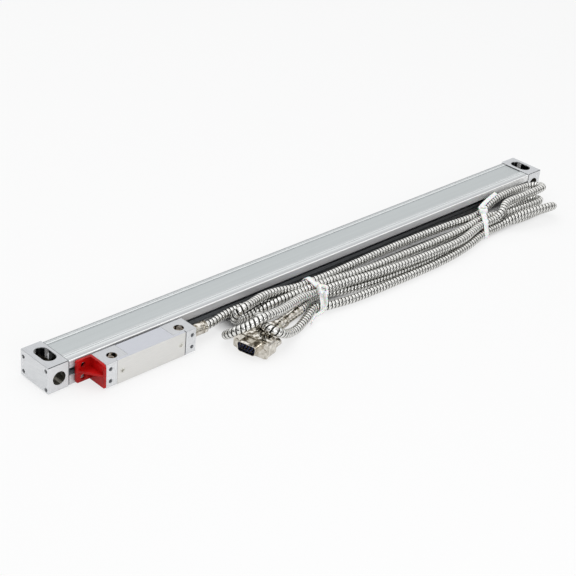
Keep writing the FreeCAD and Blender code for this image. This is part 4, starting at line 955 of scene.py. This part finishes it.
class OBJECT_OT_ties(bpy.types.Operator):
    """Two nylon ties drawn round the folded hose"""

    bl_idname = "object.scale_ties"
    bl_label = "Make ties"

    def execute(self, context):
        settings = context.scene.scale_settings
        make_tie(settings, "left", origin=(-41.5, -30.0, 8.0), normal=(1.0, -0.22, -0.5),
                 lock_place=(-39.0, -36.9, 16.0), lock_size=(9.5, 8.5, 4.2),
                 tail=((-42.0, -41.0, 16.5), (-44.5, -47.5, 12.0), (-48.5, -49.4, 6.0),
                       (-55.0, -47.6, 3.4), (-62.0, -50.0, 2.8), (-67.0, -53.6, 2.6)),
                 tail_side=(0.3, -0.2, 1.0))
        make_tie(settings, "right", origin=(172.0, -29.0, 8.0), normal=(1.0, -0.95, 0.23),
                 lock_place=(175.0, -23.5, 15.0), lock_size=(8.5, 8.0, 3.8),
                 tail=((175.0, -20.0, 16.6), (180.0, -18.4, 17.4), (188.0, -16.0, 17.8),
                       (198.0, -13.4, 18.4), (208.0, -11.8, 19.0)),
                 tail_side=(0.0, 1.0, 0.3))
        return {"FINISHED"}


def apply_finish(settings, *slots):
    """Gives every CAD node of some slots its finish."""
    for part in frame["record"]["subparts"]:
        if part["material_slot"] in slots:
            node = frame["nodes"][part["node"]]
            node.data.materials.clear()
            node.data.materials.append(finish_material(settings, part["material_slot"]))


class OBJECT_OT_housing(bpy.types.Operator):
    """Finishes of the housing: profile, end blocks, lips, gaskets, glass and screws"""

    bl_idname = "object.scale_housing"
    bl_label = "Finish housing"

    def execute(self, context):
        apply_finish(context.scene.scale_settings, "profile_anodised", "block_machined", "seal_rubber",
                     "bond_rubber", "float_glass", "track_chrome", "screw_steel")
        return {"FINISHED"}


class OBJECT_OT_head(bpy.types.Operator):
    """Finishes of the reader head, its bracket and what it carries inside"""

    bl_idname = "object.scale_head"
    bl_label = "Finish reader head"

    def execute(self, context):
        apply_finish(context.scene.scale_settings, "cover_satin", "bracket_red", "carriage_black",
                     "board_green", "chip_black", "flex_amber", "wire_grey", "lamp_clear",
                     "spring_steel", "roller_steel")
        return {"FINISHED"}


class OBJECT_OT_plug(bpy.types.Operator):
    """Finishes of the plug, the gland and the soft CAD solids that stay hidden"""

    bl_idname = "object.scale_plug"
    bl_label = "Finish plug"

    def execute(self, context):
        apply_finish(context.scene.scale_settings, "nickel_plate", "insert_navy", "contact_brass",
                     "hose_steel", "tie_nylon")
        return {"FINISHED"}


def make_camera(scene):
    """Camera from which the photo was taken."""
    camera = bpy.data.cameras.new("photo_camera")
    camera.lens = CAMERA_LENS
    camera.sensor_width = CAMERA_FRAME
    camera.clip_start = 0.05
    camera.clip_end = 20.0
    view = bpy.data.objects.new("photo_camera", camera)
    view.location = Vector(CAMERA_PLACE) * MM
    view.rotation_euler = [math.radians(angle) for angle in CAMERA_TURN]
    scene.collection.objects.link(view)
    scene.camera = view


def ray_kinds(tree):
    """1 for rays that the camera sees directly or through glass, and 1 for mirrored rays."""
    rays = add_node(tree, "LightPath").outputs
    return larger(tree, rays["Is Camera Ray"], rays["Is Transmission Ray"]), rays["Is Glossy Ray"]


def make_world(scene):
    """White to the camera and to mirrors that look away from it; else a studio with a dark band."""
    world = bpy.data.worlds.new("studio")
    scene.world = world
    world.use_nodes = True
    tree = world.node_tree
    tree.nodes.clear()
    direction = add_node(tree, "TexCoord").outputs["Generated"]
    x, y, z = add_node(tree, "SeparateXYZ", {"Vector": direction}).outputs
    height = maths(tree, "MULTIPLY_ADD", z, 0.5, 0.5)
    sky = ramp(tree, height, [(0.49, "#F2F2F2"), (0.51, "#8A8B8C"), (0.55, "#1C1D1E"),
                              (0.66, "#2C2D2E"), (0.73, "#E8E9EA"), (0.95, "#FFFFFF")])
    ahead = maths(tree, "ADD", product(tree, x, CAMERA_AHEAD[0]), product(tree, y, CAMERA_AHEAD[1]))
    direct, mirrored = ray_kinds(tree)
    white_share = larger(tree, direct, product(tree, mirrored, fade(tree, ahead, 0.0, 0.5)))
    studio = add_node(tree, "Background", {"Color": sky, "Strength": 0.95})
    white = add_node(tree, "Background", {"Color": linear("#FFFFFF"), "Strength": 1.0})
    both = add_node(tree, "MixShader", {0: white_share, 1: studio.outputs[0], 2: white.outputs[0]})
    out = add_node(tree, "OutputWorld")
    tree.links.new(both.outputs[0], out.inputs["Surface"])


def make_floor(scene):
    """Pale floor that glows a little to the camera and to mirrors, but not under the folded hose, which
    is painted shade.
    """
    mesh = bpy.data.meshes.new("floor")
    corners = ((-1, -1), (1, -1), (1, 1), (-1, 1))
    mesh.from_pydata([(x * FLOOR_HALF * MM, y * FLOOR_HALF * MM, FLOOR_LEVEL * MM) for x, y in corners],
                     [], [(0, 1, 2, 3)])
    floor = bpy.data.objects.new("floor", mesh)
    material, tree, shader = new_material("opal light table", "#F4F4F4", 0.9)
    bump(tree, shader, noise(tree, place(tree), 0.6 * MM), 0.01 * MM)
    direct, mirrored = ray_kinds(tree)
    seen = larger(tree, direct, product(tree, mirrored, MIRRORED_GLOW))
    x, y = coordinates(tree)[:2]
    # Painted shade: no glow on the ground under the folded hose
    painted_shade_under_hose = product(tree, between(tree, x, *HANK_X, 8.0), between(tree, y, *HANK_Y, 5.0))
    seen = product(tree, seen, maths(tree, "SUBTRACT", 1.0, painted_shade_under_hose))
    glow = add_node(tree, "Emission", {"Color": linear("#FEFEFE"), "Strength": 1.0})
    both = add_node(tree, "MixShader", {0: product(tree, seen, FLOOR_GLOW),
                                        1: shader.outputs[0], 2: glow.outputs[0]})
    tree.links.new(both.outputs[0], tree.nodes["Material Output"].inputs["Surface"])
    mesh.materials.append(material)
    scene.collection.objects.link(floor)


def add_area(name, place_mm, size, power):
    """Soft white light aimed at the middle of the object; its place in mm, its size in metres."""
    light = bpy.data.lights.new(name, "AREA")
    light.shape = "RECTANGLE"
    light.size, light.size_y = size
    light.energy = power
    lamp = bpy.data.objects.new(name, light)
    lamp.location = Vector(place_mm) * MM
    lamp.rotation_euler = (-lamp.location).to_track_quat("-Z", "Y").to_euler()
    bpy.context.scene.collection.objects.link(lamp)


class OBJECT_OT_stage(bpy.types.Operator):
    """Camera, lights, floor and white surroundings"""

    bl_idname = "object.scale_stage"
    bl_label = "Make stage"

    def execute(self, context):
        scene = context.scene
        power = scene.scale_settings.key_power
        make_camera(scene)
        scene.view_settings.view_transform = "Standard"
        make_world(scene)
        make_floor(scene)
        add_area("key", (-200, 150, 1300), (1.5, 1.2), power)
        add_area("front_fill", (-500, -1200, 500), (1.2, 0.5), power * FILL_SHARE)
        return {"FINISHED"}


class VIEW3D_PT_scale(bpy.types.Panel):
    """Sidebar panel of the glass scale"""

    bl_label = "Glass scale"
    bl_idname = "VIEW3D_PT_scale"
    bl_space_type = "VIEW_3D"
    bl_region_type = "UI"
    bl_category = "Glass scale"

    def draw(self, context):
        settings = context.scene.scale_settings
        for name in ScaleSettings.__annotations__:
            self.layout.prop(settings, name)
        for operator in OPERATORS:
            self.layout.operator(operator.bl_idname)


OPERATORS = (OBJECT_OT_stage, OBJECT_OT_hose, OBJECT_OT_ties, OBJECT_OT_housing, OBJECT_OT_head,
             OBJECT_OT_plug)
CLASSES = (ScaleSettings,) + OPERATORS + (VIEW3D_PT_scale,)


def register():
    for each in CLASSES:
        bpy.utils.register_class(each)
    bpy.types.Scene.scale_settings = bpy.props.PointerProperty(type=ScaleSettings)


def unregister():
    del bpy.types.Scene.scale_settings
    for each in reversed(CLASSES):
        bpy.utils.unregister_class(each)


def main():
    register()
    bpy.ops.object.scale_stage()
    bpy.ops.object.scale_hose()
    bpy.ops.object.scale_ties()
    bpy.ops.object.scale_housing()
    bpy.ops.object.scale_head()
    bpy.ops.object.scale_plug()


if __name__ == "__main__":
    main()
